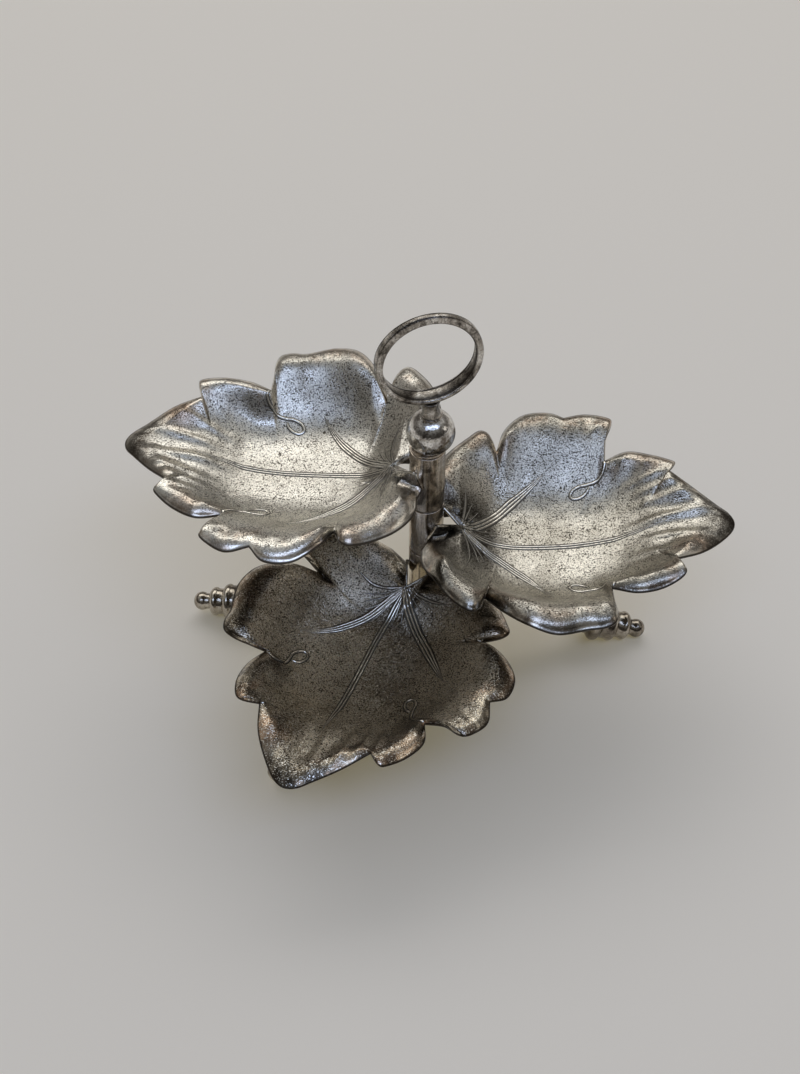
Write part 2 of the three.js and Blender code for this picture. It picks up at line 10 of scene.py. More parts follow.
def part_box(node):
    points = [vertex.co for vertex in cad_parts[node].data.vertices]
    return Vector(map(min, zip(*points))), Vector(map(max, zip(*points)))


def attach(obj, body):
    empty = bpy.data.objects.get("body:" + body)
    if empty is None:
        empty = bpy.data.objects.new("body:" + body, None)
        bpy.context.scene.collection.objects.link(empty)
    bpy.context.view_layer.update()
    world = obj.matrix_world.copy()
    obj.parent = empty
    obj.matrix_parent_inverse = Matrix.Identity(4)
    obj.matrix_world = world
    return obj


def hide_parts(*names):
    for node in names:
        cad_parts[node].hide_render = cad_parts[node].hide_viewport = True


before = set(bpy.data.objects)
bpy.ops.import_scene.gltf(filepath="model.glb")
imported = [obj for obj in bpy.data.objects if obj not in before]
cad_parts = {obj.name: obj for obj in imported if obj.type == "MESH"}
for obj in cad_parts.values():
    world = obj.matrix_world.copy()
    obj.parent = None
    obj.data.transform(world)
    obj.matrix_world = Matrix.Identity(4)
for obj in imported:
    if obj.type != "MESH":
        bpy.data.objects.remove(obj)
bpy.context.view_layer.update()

MM = 0.001
# Angles, in degrees, above which an edge of a lathed or turned piece stays sharp
LATHE_SHARP = 35
TURNED_SHARP = 60
# Fineness of the meshes
LATHE_SEGMENTS = 96
RING_SEGMENTS = 180
ARM_SEGMENTS = 64
TUBE_SIDES = 12
SEAM_STEPS = 12
BEAD_STEPS = 18
BALL_STEPS = 48
# Largest share of a straight side that the rounding of a corner takes
CORNER_SHARE = 0.45
# Floor: half its width in metres, its colour, and what it adds where it is seen
FLOOR_REACH = 15
FLOOR_COLOUR = (0.82, 0.79, 0.785)
FLOOR_GLOW = (0.115, 0.1, 0.052)

# Clearances and heights, in millimetres, as the frame has them
SEAT_GAP = 0.3
RUNNING_GAP = 0.35
COLUMN_RADIUS = 9.4
SLEEVE_WALL = 1.6
SLEEVE_END = 3
SLEEVE_ROUNDING = 0.45
ROD_RADIUS = 4
EDGE_BREAK = 0.5
WASHER_ROUNDING = 0.2
NUT_INSET = 0.8
NUT_BEVEL = 1.5
NUT_FLOOR = 2
NUT_FLAT = 4
NUT_ROUNDING = 0.6
BALL_RADIUS = 12.5
BALL_LEAN = 1.6
BALL_SEAT_RADIUS = 7.6
NECK_LEAN = 1.1
NECK_FOOT = 0.6
NECK_COVE = 1.4
NECK_SWELL_LENGTH = 1.6
NECK_SWELL = 0.3
NECK_TOP_FLARE = 1.2
NECK_ROUNDING = 0.5
NECK_EDGE = 0.1
NECK_CLEARANCE = 0.05
ROD_IN_BALL = 11
STUD_RADIUS = 2.5
STUD_LENGTH = 6
NECK_RADIUS = 4.3
NECK_FLARE = 5.6
RING_OUTER_RADIUS = 26.9
RING_THICKNESS_TOP = 4.4
RING_THICKNESS_BOTTOM = 2.8
RING_WIDTH_TOP = 4.2
RING_WIDTH_BOTTOM = 9.5
RING_TURN = 13.9
# Half of the ring's section: share of the thickness from the inner face, and share of half the width
RING_SECTION = [
    (0, -0.58), (0.14, -0.68), (0.02, -0.78), (0.15, -1), (0.65, -1), (0.88, -0.88), (0.98, -0.72),
    (0.84, -0.62), (1, -0.5),
]
# Dark line near each rim of the ring: from and to, as shares of half the width
RING_LINE = (0.56, 0.8)
# The section's corners are rounded with its width drawn this much larger
RING_STRETCH = 10
RING_ROUNDING = 0.3
REST_HEIGHT = 2
FOOT_WEAR = 0.5
BEAD_RADII = [5.4, 8.4, 10.6, 12, 9.4]
BEAD_HALF_LENGTHS = [5, 4.3, 4.9, 5.5, 4.4]
BEAD_OVERLAP = 0.9
BEAD_NECK = 0.8
ARM_RADIUS_OUTER = 5
ARM_RADIUS_INNER = 3.6
ARM_SHOULDER = 3
ARM_SWELL = 0.3
ARM_CLEARANCE = 0.1
EYE_ROUNDING = 0.5
# Bearing in degrees, and distance of the tip bead from the column's axis
LEGS = {"left": (173.3, 132.4), "front": (231.1, 129.8), "right": (358.6, 124)}

# Dishes
LEAF_THICKNESS = 1.6
EDGE_LIP = 0.4
EDGE_ROLL = 3.0
# Bearing, pitch and roll in degrees
LEAF_SEATS = {
    "upper": (170.5, 3.58, 1.48),
    "middle": (0, -0.34, -0.45),
    "lower": (245.7, -3.12, -1.13),
}
EAR_START = 55
EAR_END_LEFT = 78
EAR_END_RIGHT = 84
EAR_HIGH = -11
EAR_LOW_LEFT = -20.6
EAR_LOW_RIGHT = -19
BOWL_EXPONENT_LEFT = 1.7
BOWL_EXPONENT_RIGHT = 2.5
HALF_LOBE_WIDTH = 60
BOWL_SPREAD = 15
BOWL_PULL = 6
EDGE_FADE = 13
ROLL_EXPONENT = 2.7
WIDEST_ROLL = 0.6
MARGIN_WIDTH = 20
BOWL_MARGIN = 50.0
SPINE_START = 34
SPINE_END = 128
RIM_STEP = 1.25
RING_COUNT = 64
UNDER_RINGS = 26
EDGE_STEPS = 5
EAR_STEPS = 18
SPINE_STEPS = 150
FIRST_RING = 0.06
# Unevenness of the casting: width, height and layer of each noise
CASTING = [(11, 0.2, 3.1), (4, 0.1, 7.7)]
RELIEF_FADE = 6

MIDRIB = [
    (18.4, -18.1), (28, -24.6), (38, -29.7), (56, -31.9), (80, -32),
    (101, -28.6), (113, -23.3), (126, -17.6), (150, -14.6), (166, -14.4),
]
# Rim rows of x, y, z, foot of the rib, height of the lip and width of the rolled margin. Each stretch
# is one curve, which starts where the one before it ends.
NOTCH_LEFT = [(18.4, -2.7, -18.1, 34, 0.4, 3), (12.6, 3.4, -14.6, 35, 0.4, 3)]
NOTCH_RIGHT = [(12.8, -5.2, -14.4, 35, 0.4, 3), (18.4, -2.7, -18.1, 34, 0.4, 3)]
LOBES = [
    # Back lobe, left
    [
        (3.2, 20, -19, 38, 4, 7), (2.8, 33, -17, 39, 7, 11), (10, 46.6, -15.6, 40, 6.5, 11),
        (24, 59, -12.4, 41, 4, 9), (31, 62.6, -10, 42, 3, 7), (35.2, 60.8, -10, 42.5, 2, 5),
        (38.2, 55.8, -11.8, 43, 1.5, 4), (40, 50.4, -13.8, 44, 0.4, 3),
    ],
    # Side lobe, left
    [
        (45, 63.5, -11, 49, 4.5, 9), (57, 76, -11.3, 56, 6.5, 12), (71, 77, -10.8, 62, 5, 10),
        (78.9, 70.5, -8.2, 66, 1.5, 4),
    ],
    # Side lobe's tip, left
    [
        (90.8, 74.2, -9.4, 71, 4, 9), (101.5, 70.3, -7.4, 75, 2.5, 7), (105.3, 67, -6.6, 77, 2, 6),
        (105.2, 63.5, -7.4, 78, 1.8, 5), (101.8, 55.5, -10, 80, 1.5, 4),
        (100.6, 44.1, -15.6, 84, 0.3, 3),
    ],
    # Upper lobe, left
    [
        (113, 48.9, -14, 94, 4, 9), (126, 45, -12.7, 102, 4.5, 9), (135.5, 38.9, -10.3, 107, 2.5, 6),
        (138, 36.2, -9.3, 108, 2, 5), (137.2, 33.4, -8.6, 109, 1.2, 4),
        (133.9, 28.9, -7.7, 110, 0.4, 3),
    ],
    # Tip of the leaf
    [
        (146.5, 18.8, -11.7, 117, 2.5, 8), (158, 8.2, -14, 123, 2.5, 10),
        (163.8, 2.6, -14.8, 126, 3, 12), (166, -3.3, -15.1, 128, 3, 14), (164.4, -9, -15, 127, 3, 12),
        (157, -17.6, -14.3, 123, 2.5, 10), (144.3, -28.6, -10.8, 116, 2.5, 8),
        (130.6, -35, -7.7, 110, 0.4, 3),
    ],
    # Upper lobe, right
    [
        (133.2, -41, -6.4, 108.5, 1.2, 4), (133.8, -44.8, -6, 107.5, 2, 5),
        (131.5, -48, -7, 106, 2.5, 6), (121, -53.2, -10, 99, 4.5, 9), (108, -54, -12.4, 89, 4, 9),
        (95.6, -50, -13.3, 81, 0.3, 3),
    ],
    # Side lobe, right
    [
        (96, -59.5, -12.6, 78, 1.5, 4), (96.6, -69, -10.8, 75.5, 2.2, 6),
        (94.8, -74.8, -10.3, 73.5, 3, 7), (89.5, -77.9, -10.8, 71, 4.5, 9),
        (81, -78.8, -11.5, 67, 6, 11), (64, -83, -9.5, 60, 6, 12), (50, -78.6, -7.2, 52, 4.4, 11),
        (38, -67, -11, 46, 4, 8), (29.5, -51.3, -18.6, 42, 0.4, 3),
    ],
    # Back lobe, right
    [
        (28.2, -58.5, -13.6, 40.5, 1.5, 4), (26.4, -65.2, -9.6, 39, 2.5, 6),
        (21.6, -69.2, -7.6, 38, 3.5, 8), (12.4, -62.5, -7.6, 37, 5, 10), (2.6, -48, -7.4, 36, 6, 11),
        (-2.6, -34, -14, 36, 6, 10), (-3.2, -20, -17.8, 35, 4, 7),
    ],
]

# Folds that run out to the tip: from, to, half width and height
FOLDS = [
    ((108, 0), (156, 5), 3.4, 2.0), ((116, 14), (148, 15), 2.4, 1.4),
    ((114, 20.5), (140, 23), 1.9, 1.1), ((110, 27), (134, 30), 1.8, 1.0),
    ((116, -10), (154, -12), 2.6, 1.3), ((110, -19), (142, -24), 2.2, 1.0),
    ((92, 56), (100, 64), 3.0, 1.0), ((88, -60), (93, -70), 3.0, 1.0),
]
# Hollows in the lobes: middle, radius and depth
HOLLOWS = [
    ((60, 60), 10, 1.3), ((92, 62), 7, 0.8), ((116, 38), 7, 0.8), ((16, 42), 8, 0.9),
    ((66, -66), 10, 1.3), ((86, -60), 7, 0.7), ((110, -42), 7, 0.8), ((14, -48), 8, 0.9),
]

# Right halves of the chased lines' cross sections: share of the half width, rise and share of groove
TRIPLE_LINE = [
    (0, 0.34, 0), (0.18, 0.2, 0.2), (0.26, 0, 1), (0.54, 0, 1), (0.62, 0.2, 0.2), (0.8, 0.34, 0),
    (0.98, 0.2, 0.2), (1.06, 0, 1), (1.3, 0, 1), (1.45, 0, 0.6),
]
DOUBLE_LINE = [
    (0.24, 0, 1), (0.34, 0.2, 0.2), (0.56, 0.34, 0), (0.8, 0.2, 0.2), (0.92, 0, 1), (1.25, 0, 1),
    (1.4, 0, 0.6),
]
SINGLE_LINE = [(0, 0.42, 0), (0.55, 0.32, 0), (1.05, 0.02, 1), (1.7, 0, 1)]
FAINT_LINE = [(0.4, 0.25, 0.35), (0.9, 0, 1), (1.7, 0, 1)]
# Chased lines in the leaf's plan: route, cross section, half width and height
VEINS = [
    ([(19.5, -3.4), (27.3, 2.6), (34.3, 9.6), (40.2, 15.8), (46, 21.8), (55.6, 30.6), (67.2, 40.5)],
     TRIPLE_LINE, 2.1, 0.85),
    ([(20, -3.2), (33.8, -5.2), (49.4, -6), (73, -5.2), (97, -3.8), (112, -3), (126, -1.8)],
     DOUBLE_LINE, 1.4, 0.55),
    ([(20.2, -4), (30, -11), (39.5, -17.4), (47, -23.6), (55.5, -31.6), (66, -45)],
     TRIPLE_LINE, 1.8, 0.75),
    ([(19, -1.6), (20.6, 6), (21.8, 14), (22.1, 23.5)], FAINT_LINE, 0.5, 0.5),
    ([(19.4, -4.6), (22, -12.5), (22.8, -21.5), (20.6, -31)], FAINT_LINE, 0.5, 0.5),
]
FAN = [
    [(19.5, -3.2), (28, -7.6), (41, -14.5)], [(19.5, -3.4), (28.5, -9), (40, -18.5)],
    [(19.5, -3.6), (27.5, -10.4), (36, -20.5)], [(19.3, -4.2), (26, -12), (32, -23)],
    [(19.3, -4.6), (24.6, -13), (28.5, -25)], [(19.6, -2.6), (28, -2.6), (40, -2.4)],
    [(19.6, -2.2), (28, -0.2), (39, 3.4)], [(19.4, -1.4), (24, 5), (29, 13.5)],
    [(19.2, -1.2), (22, 6), (25.2, 16)],
]
FAN_HALF_WIDTH = 0.28
FAN_RISE = 0.4
LINE_LIFT = 0.03
LINE_DEPTH = 0.5
LINE_LEAST = 0.04
# Height above the rim from which the surface is looked up
PROBE_HEIGHT = 60
# Creases that run in from the two deep notches and end in a loop
LEFT_LOOP = [
    (100.2, 43), (99.3, 38.6), (97.4, 35.4), (93.8, 33.6), (90, 33), (85.4, 32.6), (82, 30.8),
    (80.8, 28.4), (82.6, 26.6), (86.4, 26.8), (89.8, 29.2), (91.6, 32.4),
]
RIGHT_LOOP = [
    (95.8, -49), (96.6, -45.2), (94.4, -42.2), (90.6, -41), (86.4, -40.8), (81.6, -41), (77.4, -39.2),
    (75.6, -36.4), (77.4, -34.2), (81, -34.4), (84.4, -36.6), (85.6, -39.6),
]
LOOP_HALF_WIDTH = 0.62
LOOP_RISE = 1.1
LOOP_FADES = (0.02, 0.06)
# Raised lip round the opening at the notch
NOTCH_LIP_LEFT = [
    (5.9, 8.6, -10.9), (8.6, 6.9, -12.2), (12.6, 3.4, -14.5), (16.4, -0.5, -16.7), (18.4, -2.6, -17.9),
]
NOTCH_LIP_RIGHT = [
    (5.7, -8.4, -10.9), (8.7, -7.1, -12.3), (12.8, -5.2, -14.3), (16.6, -3.6, -16.8), (18.4, -2.8, -17.9),
]
LIP_RADIUS_LEFT = 1.0
LIP_RADIUS_RIGHT = 0.7
LIP_TAPER = 0.8
SOLDER_RADIUS = 0.75
# Patches of golden tarnish: middle, radius and share
GILT = [((141, -24), 9, 0.85), ((120, 44), 8, 0.6), ((31, 59), 7, 0.6), ((62, -77), 7, 0.5)]
# Painted shade: round the notch of each dish where it meets the column, from its rim outwards, and at the
# rolled-down tip
NOTCH_POINT = (18.4, -2.7)
NOTCH_SHADE = {"upper": 0.0, "middle": 1.0, "lower": 0.3}
NOTCH_SHADE_END = 30
NOTCH_SHADE_FADE = 12
TIP_SHADE_START = 146
TIP_SHADE_FADE = 10

WORN_SILVER = (0.95, 0.92, 0.84)
# Name, colours of bright, middle and dark plate and of golden stains, share rubbed bright, depth of
# the ground in metres, and share of stains
DISH_PLATES = {
    "upper": (
        "dish_plate", (0.92, 0.885, 0.80), (0.72, 0.685, 0.61), (0.07, 0.058, 0.045),
        (0.62, 0.44, 0.31), 0.25, 0.00016, 0.55,
    ),
    # Middle dish: a little darker than the upper one
    "middle": (
        "dish_plate_middle", (0.82, 0.78, 0.69), (0.54, 0.505, 0.43), (0.05, 0.042, 0.033),
        (0.60, 0.43, 0.31), 0.3, 0.0002, 0.85,
    ),
    # Lower dish: the same plate painted darker, as painted shade from the two dishes above it
    "lower": (
        "dish_plate_shaded", (0.8, 0.71, 0.56), (0.4, 0.34, 0.25), (0.04, 0.032, 0.024),
        (0.62, 0.43, 0.29), 0.7, 0.0003, 1.0,
    ),
}
# Name, colours of bright, middle and dark plate, roughness, scale of the tarnish, share of wear, and
# strength of the grain
SMOOTH_PLATES = {
    "edge": (
        "edge_plate", (0.88, 0.85, 0.77), (0.68, 0.64, 0.56), (0.12, 0.1, 0.08), 0.16, 90.0, 0.3, 0.3,
    ),
    "column": (
        "dark_plate", (0.95, 0.87, 0.78), (0.78, 0.69, 0.59), (0.1, 0.083, 0.068), 0.17, 60.0, 0.5, 0.3,
    ),
    "leg": (
        "leg_plate", (0.70, 0.65, 0.56), (0.46, 0.41, 0.34), (0.1, 0.082, 0.064), 0.15, 60.0, 0.4, 0.3,
    ),
    "ball": (
        "ball_plate", (0.95, 0.94, 0.92), (0.84, 0.82, 0.79), (0.16, 0.135, 0.11), 0.04, 60.0, 0.7, 0.45,
    ),
    "ring": (
        "ring_plate", (0.96, 0.92, 0.86), (0.46, 0.42, 0.37), (0.04, 0.033, 0.027), 0.16, 120.0, 0.8, 1.0,
    ),
    "bare": (
        "bare_metal", (0.52, 0.48, 0.42), (0.38, 0.34, 0.28), (0.12, 0.1, 0.08), 0.38, 80.0, 0.3, 0.3,
    ),
}
SMOOTH_GRAIN = 0.0002
LINE_GRAIN = 0.00006

# Lamps: name, place, width, height, radiance and colour
LAMP_TARGET = (0, 0, 0.05)
LAMPS = [
    ("window", (-0.2, 1.95, 2.25), 3.6, 1.45, 1.35, (1.0, 0.985, 0.95)),
    ("sky", (0.25, -1.2, 2.7), 3.2, 0.9, 2.0, (0.56, 0.69, 1.0)),
    ("side", (2.6, -0.3, 1.3), 0.8, 0.6, 1.0, (1.0, 0.95, 0.88)),
]
# Room: colour by height of the direction, and brightness from the front to the back
ROOM_COLOURS = [
    (0.06, (0.46, 0.44, 0.42)), (0.15, (0.13, 0.12, 0.108)), (0.45, (0.14, 0.13, 0.12)),
    (0.65, (0.4, 0.39, 0.375)), (0.85, (0.34, 0.35, 0.36)), (1.0, (0.38, 0.40, 0.43)),
]
ROOM_SHADE = [(0.0, 0.35), (0.35, 0.5), (0.55, 1.0), (1.0, 1.15)]
ROOM_SHADE_START = [(0.06, 0.0), (0.14, 1.0)]
CAMERA_LENS = 49.71
CAMERA_SENSOR = 36
CAMERA_PLACE = (-0.014246, -0.529181, 0.699295)
CAMERA_TILT = 40.63
CAMERA_ROLL = -0.204


def added(name, data):
    """An object of the given data, in the scene."""
    obj = bpy.data.objects.new(name, data)
    bpy.context.scene.collection.objects.link(obj)
    return obj


def obj_from(name, vertices, faces, sharp_degrees=0):
    """A smooth mesh object from vertices in millimetres, with any steeper edges left sharp."""
    mesh = bpy.data.meshes.new(name)
    mesh.from_pydata([tuple(c * MM for c in v) for v in vertices], [], faces)
    mesh.validate()
    mesh.shade_smooth()
    if sharp_degrees:
        mesh.set_sharp_from_angle(angle=math.radians(sharp_degrees))
    return added(name, mesh)


def bands(rings, flip=False):
    """Faces from each closed ring of vertex numbers to the next. A ring may be a single vertex."""
    faces = []
    for low, high in zip(rings, rings[1:]):
        count = max(len(low), len(high))
        for k in range(count):
            n = (k + 1) % count
            if len(low) == 1:
                face = (low[0], high[n], high[k])
            elif len(high) == 1:
                face = (low[k], low[n], high[0])
            else:
                face = (low[k], low[n], high[n], high[k])
            faces.append(face[:1] + face[:0:-1] if flip else face)
    return faces


def centripetal(points, samples=40):
    """Points along a centripetal Catmull-Rom curve, each with its place in the list of points."""
    points = np.array(points, float)
    ends = np.vstack([2 * points[0] - points[1], points, 2 * points[-1] - points[-2]])
    places = []
    along = []
    for i in range(len(points) - 1):
        p0, p1, p2, p3 = ends[i:i + 4]
        steps = (p1 - p0, p2 - p1, p3 - p2)
        d0, d1, d2 = (max((step ** 2).sum() ** 0.25, 1e-4) for step in steps)
        start = ((p1 - p0) / d0 - (p2 - p0) / (d0 + d1) + (p2 - p1) / d1) * d1
        end = ((p2 - p1) / d1 - (p3 - p1) / (d1 + d2) + (p3 - p2) / d2) * d1
        last = i == len(points) - 2
        for t in np.linspace(0, 1, samples + 1)[: samples + 1 if last else samples]:
            place = p1 + start * t
            place = place + (3 * (p2 - p1) - 2 * start - end) * t ** 2
            place = place + (2 * (p1 - p2) + start + end) * t ** 3
            places.append(place)
            along.append(i + t)
    return np.array(places), np.array(along)


def evenly(points):
    """Evenly spaced rows along a rim stretch, without its last one."""
    points = np.array(points, float)
    places, along = centripetal(points[:, :3])
    distance = np.concatenate([[0], np.cumsum(np.linalg.norm(np.diff(places, axis=0), axis=1))])
    count = max(1, round(distance[-1] / RIM_STEP))
    wanted = np.linspace(0, distance[-1], count + 1)[:-1]
    columns = [np.interp(wanted, distance, places[:, k]) for k in range(3)]
    at = np.interp(wanted, distance, along)
    columns += [np.interp(at, np.arange(len(points)), points[:, k]) for k in range(3, points.shape[1])]
    return np.stack(columns, axis=1)


def ear(side, end_degrees, foot, bottom):
    """The edge that lies against the sleeve."""
    part = np.linspace(0, 1, EAR_STEPS)
    angle = np.radians(EAR_START + (end_degrees - EAR_START) * part) * side
    radius = COLUMN_RADIUS + SEAT_GAP
    rows = np.stack([
        radius * np.cos(angle), radius * np.sin(angle), EAR_HIGH + (bottom - EAR_HIGH) * part,
        np.full(EAR_STEPS, foot), np.full(EAR_STEPS, EDGE_LIP), np.full(EAR_STEPS, EDGE_ROLL),
    ], axis=1)
    return rows if side > 0 else rows[::-1]


def leaf_rim():
    """All rim rows, from the notch round the left half to the tip and back along the right half."""
    left_ear = ear(1, EAR_END_LEFT, NOTCH_LEFT[1][3], EAR_LOW_LEFT)
    right_ear = ear(-1, EAR_END_RIGHT, NOTCH_RIGHT[0][3], EAR_LOW_RIGHT)
    lobes = []
    corner = []
    for stretch in LOBES:
        lobes.append(evenly(corner + stretch))
        corner = stretch[-1:]
    return np.vstack([evenly(NOTCH_LEFT), left_ear, *lobes, right_ear, evenly(NOTCH_RIGHT)])


MIDRIB_PLACES = centripetal([(x, 0, z) for x, z in MIDRIB])[0]


def midrib_height(x):
    return np.interp(x, MIDRIB_PLACES[:, 0], MIDRIB_PLACES[:, 2])


def bowl_of(rim):
    """Reach and crest height of the bowl on each rib, taken mostly from the longest ribs nearby."""
    x, y, z, foot, lip, roll = rim.T
    length = np.hypot(x - foot, y)
    steps = np.hypot(np.roll(x, -1) - x, np.roll(y, -1) - y)
    spacing = (steps + np.roll(steps, 1)) / 2
    apart = np.hypot(x[:, None] - x[None, :], y[:, None] - y[None, :])
    weight = np.exp(-((apart / BOWL_SPREAD) ** 2) / 2) * (spacing * length ** BOWL_PULL)[None, :]
    weight /= weight.sum(axis=1)[:, None]
    return weight @ (length - roll), weight @ (z + lip)


def dish_height(rim, bowl, u):
    """Height of the upper face on the ribs to the rim rows, at share u of each rib's length."""
    x, y, z, foot, lip, roll = rim.T
    reach, rise = bowl
    length = np.hypot(x - foot, y)
    along = length * u
    crest = length * (1 - np.minimum(WIDEST_ROLL, roll / length))
    side = (np.clip(y / HALF_LOBE_WIDTH, -1, 1) + 1) / 2
    exponent = BOWL_EXPONENT_RIGHT + (BOWL_EXPONENT_LEFT - BOWL_EXPONENT_RIGHT) * side

    def drawn(distance):
        bottom = midrib_height(foot + (x - foot) * distance / length)
        climb = (1 - np.cos(np.pi * np.minimum(distance / reach, 1) ** exponent)) / 2
        return bottom + (rise - bottom) * climb

    fade = np.minimum(EDGE_FADE, WIDEST_ROLL * length)
    near = np.clip((along - crest + fade) / fade, 0, 1)
    near = near * near * (3 - 2 * near)
    height = drawn(along) + (z + lip - drawn(crest)) * near
    rolled = z + lip - lip * (np.maximum(along - crest, 0) / (length - crest)) ** ROLL_EXPONENT
    return np.where(along <= crest, height, rolled)


def leaf_relief(places):
    """Unevenness of the casting and the folds towards the tip, in millimetres."""
    lift = np.zeros(len(places))
    for i, (x, y, z) in enumerate(places):
        for width, height, layer in CASTING:
            lift[i] += height * noise.noise((x / width, y / width, layer))
    for (x0, y0), (x1, y1), width, height in FOLDS:
        run = np.array([x1 - x0, y1 - y0])
        away = places[:, :2] - (x0, y0)
        t = np.clip(away @ run / (run @ run), 0, 1)
        gap = np.linalg.norm(away - t[:, None] * run, axis=1)
        lift += height * np.sin(np.pi * (0.08 + 0.84 * t)) * np.exp(-((gap / width) ** 2))
    for (x, y), radius, depth in HOLLOWS:
        gap = np.hypot(places[:, 0] - x, places[:, 1] - y)
        lift -= depth * np.exp(-((gap / radius) ** 2))
    return lift


def build_leaf():
    """The dish in its own frame: vertices, faces, and each vertex's distance from the rim and side."""
    rim = leaf_rim()
    count = len(rim)
    foot = rim[:, 3]
    run = np.stack([rim[:, 0] - foot, rim[:, 1]], axis=1)
    length = np.linalg.norm(run, axis=1)
    out = run / length[:, None]
    half = LEAF_THICKNESS / 2
    upper_last = 1 - half / length
    bowl = bowl_of(rim)

    def ring_at(u):
        return np.stack([foot + run[:, 0] * u, run[:, 1] * u, dish_height(rim, bowl, u)], axis=1)

    rows = []
    margin = []
    under = []
    for k in range(RING_COUNT):
        share = FIRST_RING + (1 - FIRST_RING) * k / (RING_COUNT - 1)
        u = share * upper_last
        place = ring_at(u)
        distance = length * (1 - u)
        place[:, 2] += leaf_relief(place) * np.clip(distance / RELIEF_FADE, 0, 1)
        rows.append(place)
        margin.append(distance)
        under.append(0)
    edge = ring_at(upper_last)
    for k in range(1, EDGE_STEPS + 1):
        angle = math.pi / 2 - math.pi * k / (EDGE_STEPS + 1)
        place = edge.copy()
        place[:, :2] += out * half * math.cos(angle)
        place[:, 2] += half * math.sin(angle) - half
        rows.append(place)
        margin.append(np.zeros(count))
        under.append(0.5)
    for k in range(UNDER_RINGS):
        share = 1 - (1 - FIRST_RING) * k / (UNDER_RINGS - 1)
        u = share * upper_last
        place = ring_at(u)
        place[:, 2] -= LEAF_THICKNESS
        rows.append(place)
        margin.append(length * (1 - u))
        under.append(1)
    vertices = np.vstack(rows)
    distances = np.concatenate(margin)
    unders = np.repeat(under, count)
    last_ring = len(vertices) - count
    faces = bands([range(first, first + count) for first in range(0, len(vertices), count)])

    def station(i):
        return round((foot[i] - SPINE_START) / (SPINE_END - SPINE_START) * SPINE_STEPS)

    spine_x = np.linspace(SPINE_START, SPINE_END, SPINE_STEPS + 1)
    for side in (0, 1):
        start = len(vertices)
        base = last_ring * side
        drop = LEAF_THICKNESS * side
        spine = np.stack([spine_x, np.zeros_like(spine_x), midrib_height(spine_x) - drop], axis=1)
        if side == 0:
            spine[:, 2] += leaf_relief(spine)
        vertices = np.vstack([vertices, spine])
        distances = np.concatenate([distances, np.full(len(spine), BOWL_MARGIN)])
        unders = np.concatenate([unders, np.full(len(spine), side)])
        inner = []
        for i in range(count):
            j = (i + 1) % count
            at = station(i)
            goal = station(j)
            while at != goal:
                step = 1 if goal > at else -1
                inner.append((start + at, start + at + step, base + i))
                at += step
            inner.append((start + at, base + j, base + i))
        faces += [corner[::-1] for corner in inner] if side else inner
    return vertices, faces, distances, unders


def rotation(bearing, pitch, roll):
    """Roll about X, then pitch about Y, then bearing about Z."""
    turn = Matrix.Rotation(math.radians(bearing), 3, "Z")
    tip = Matrix.Rotation(math.radians(pitch), 3, "Y")
    lean = Matrix.Rotation(math.radians(roll), 3, "X")
    return np.array(turn @ tip @ lean)


def swept(points, radius, taper=1):
    """A closed round bead along a curve: vertices and faces."""
    path = centripetal(points, samples=10)[0]
    radii = np.linspace(radius, radius * taper, len(path))
    tangent = np.gradient(path, axis=0)
    tangent /= np.linalg.norm(tangent, axis=1)[:, None]
    side = np.cross(tangent, [0, 0, 1.0])
    side /= np.linalg.norm(side, axis=1)[:, None]
    up = np.cross(side, tangent)
    vertices = []
    rings = []
    for place, a, b, size in zip(path, side, up, radii):
        rings.append(range(len(vertices), len(vertices) + TUBE_SIDES))
        for s in range(TUBE_SIDES):
            angle = 2 * math.pi * s / TUBE_SIDES
            vertices.append(place + size * (a * math.cos(angle) + b * math.sin(angle)))
    return vertices, bands(rings) + [tuple(rings[0])[::-1], tuple(rings[-1])]


def rounded(profile, radius, steps=4):
    """The profile with its inner corners rounded."""
    points = [np.array(p, float) for p in profile]
    result = [points[0]]
    for before, corner, after in zip(points, points[1:], points[2:]):
        a = before - corner
        b = after - corner
        la = np.linalg.norm(a)
        lb = np.linalg.norm(b)
        cut = min(radius, la * CORNER_SHARE, lb * CORNER_SHARE)
        p = corner + a / la * cut
        q = corner + b / lb * cut
        for k in range(steps + 1):
            t = k / steps
            result.append((1 - t) ** 2 * p + 2 * t * (1 - t) * corner + t ** 2 * q)
    result.append(points[-1])
    return result


def lathe(name, profile):
    """A profile of radius and height turned about Z."""
    vertices = []
    rings = []
    for radius, height in profile:
        count = LATHE_SEGMENTS if radius > 0 else 1
        rings.append(range(len(vertices), len(vertices) + count))
        for k in range(count):
            angle = 2 * math.pi * k / count
            vertices.append((radius * math.cos(angle), radius * math.sin(angle), height))
    return obj_from(name, vertices, bands(rings), LATHE_SHARP)


def arc_profile(centre, radius, start, end, steps):
    """Points on an arc about the axis, from one angle to another in degrees."""
    points = []
    for k in range(steps + 1):
        angle = math.radians(start + (end - start) * k / steps)
        points.append((radius * math.cos(angle), centre + radius * math.sin(angle)))
    return points


def span(node):
    """Lowest and highest height of a frame node, in millimetres."""
    low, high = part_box(node)
    return low.z / MM, high.z / MM


# Materials
def shader(name):
    """A material with one principled shader, its node tree and the shader."""
    material = bpy.data.materials.new(name)
    material.use_nodes = True
    tree = material.node_tree
    tree.nodes.clear()
    output = tree.nodes.new("ShaderNodeOutputMaterial")
    principled = tree.nodes.new("ShaderNodeBsdfPrincipled")
    tree.links.new(principled.outputs["BSDF"], output.inputs["Surface"])
    return material, tree, principled


def node(tree, kind, **values):
    """A node with some inputs and settings set."""
    made = tree.nodes.new(kind)
    for key, value in values.items():
        if key in made.inputs:
            made.inputs[key].default_value = value
        else:
            setattr(made, key, value)
    return made


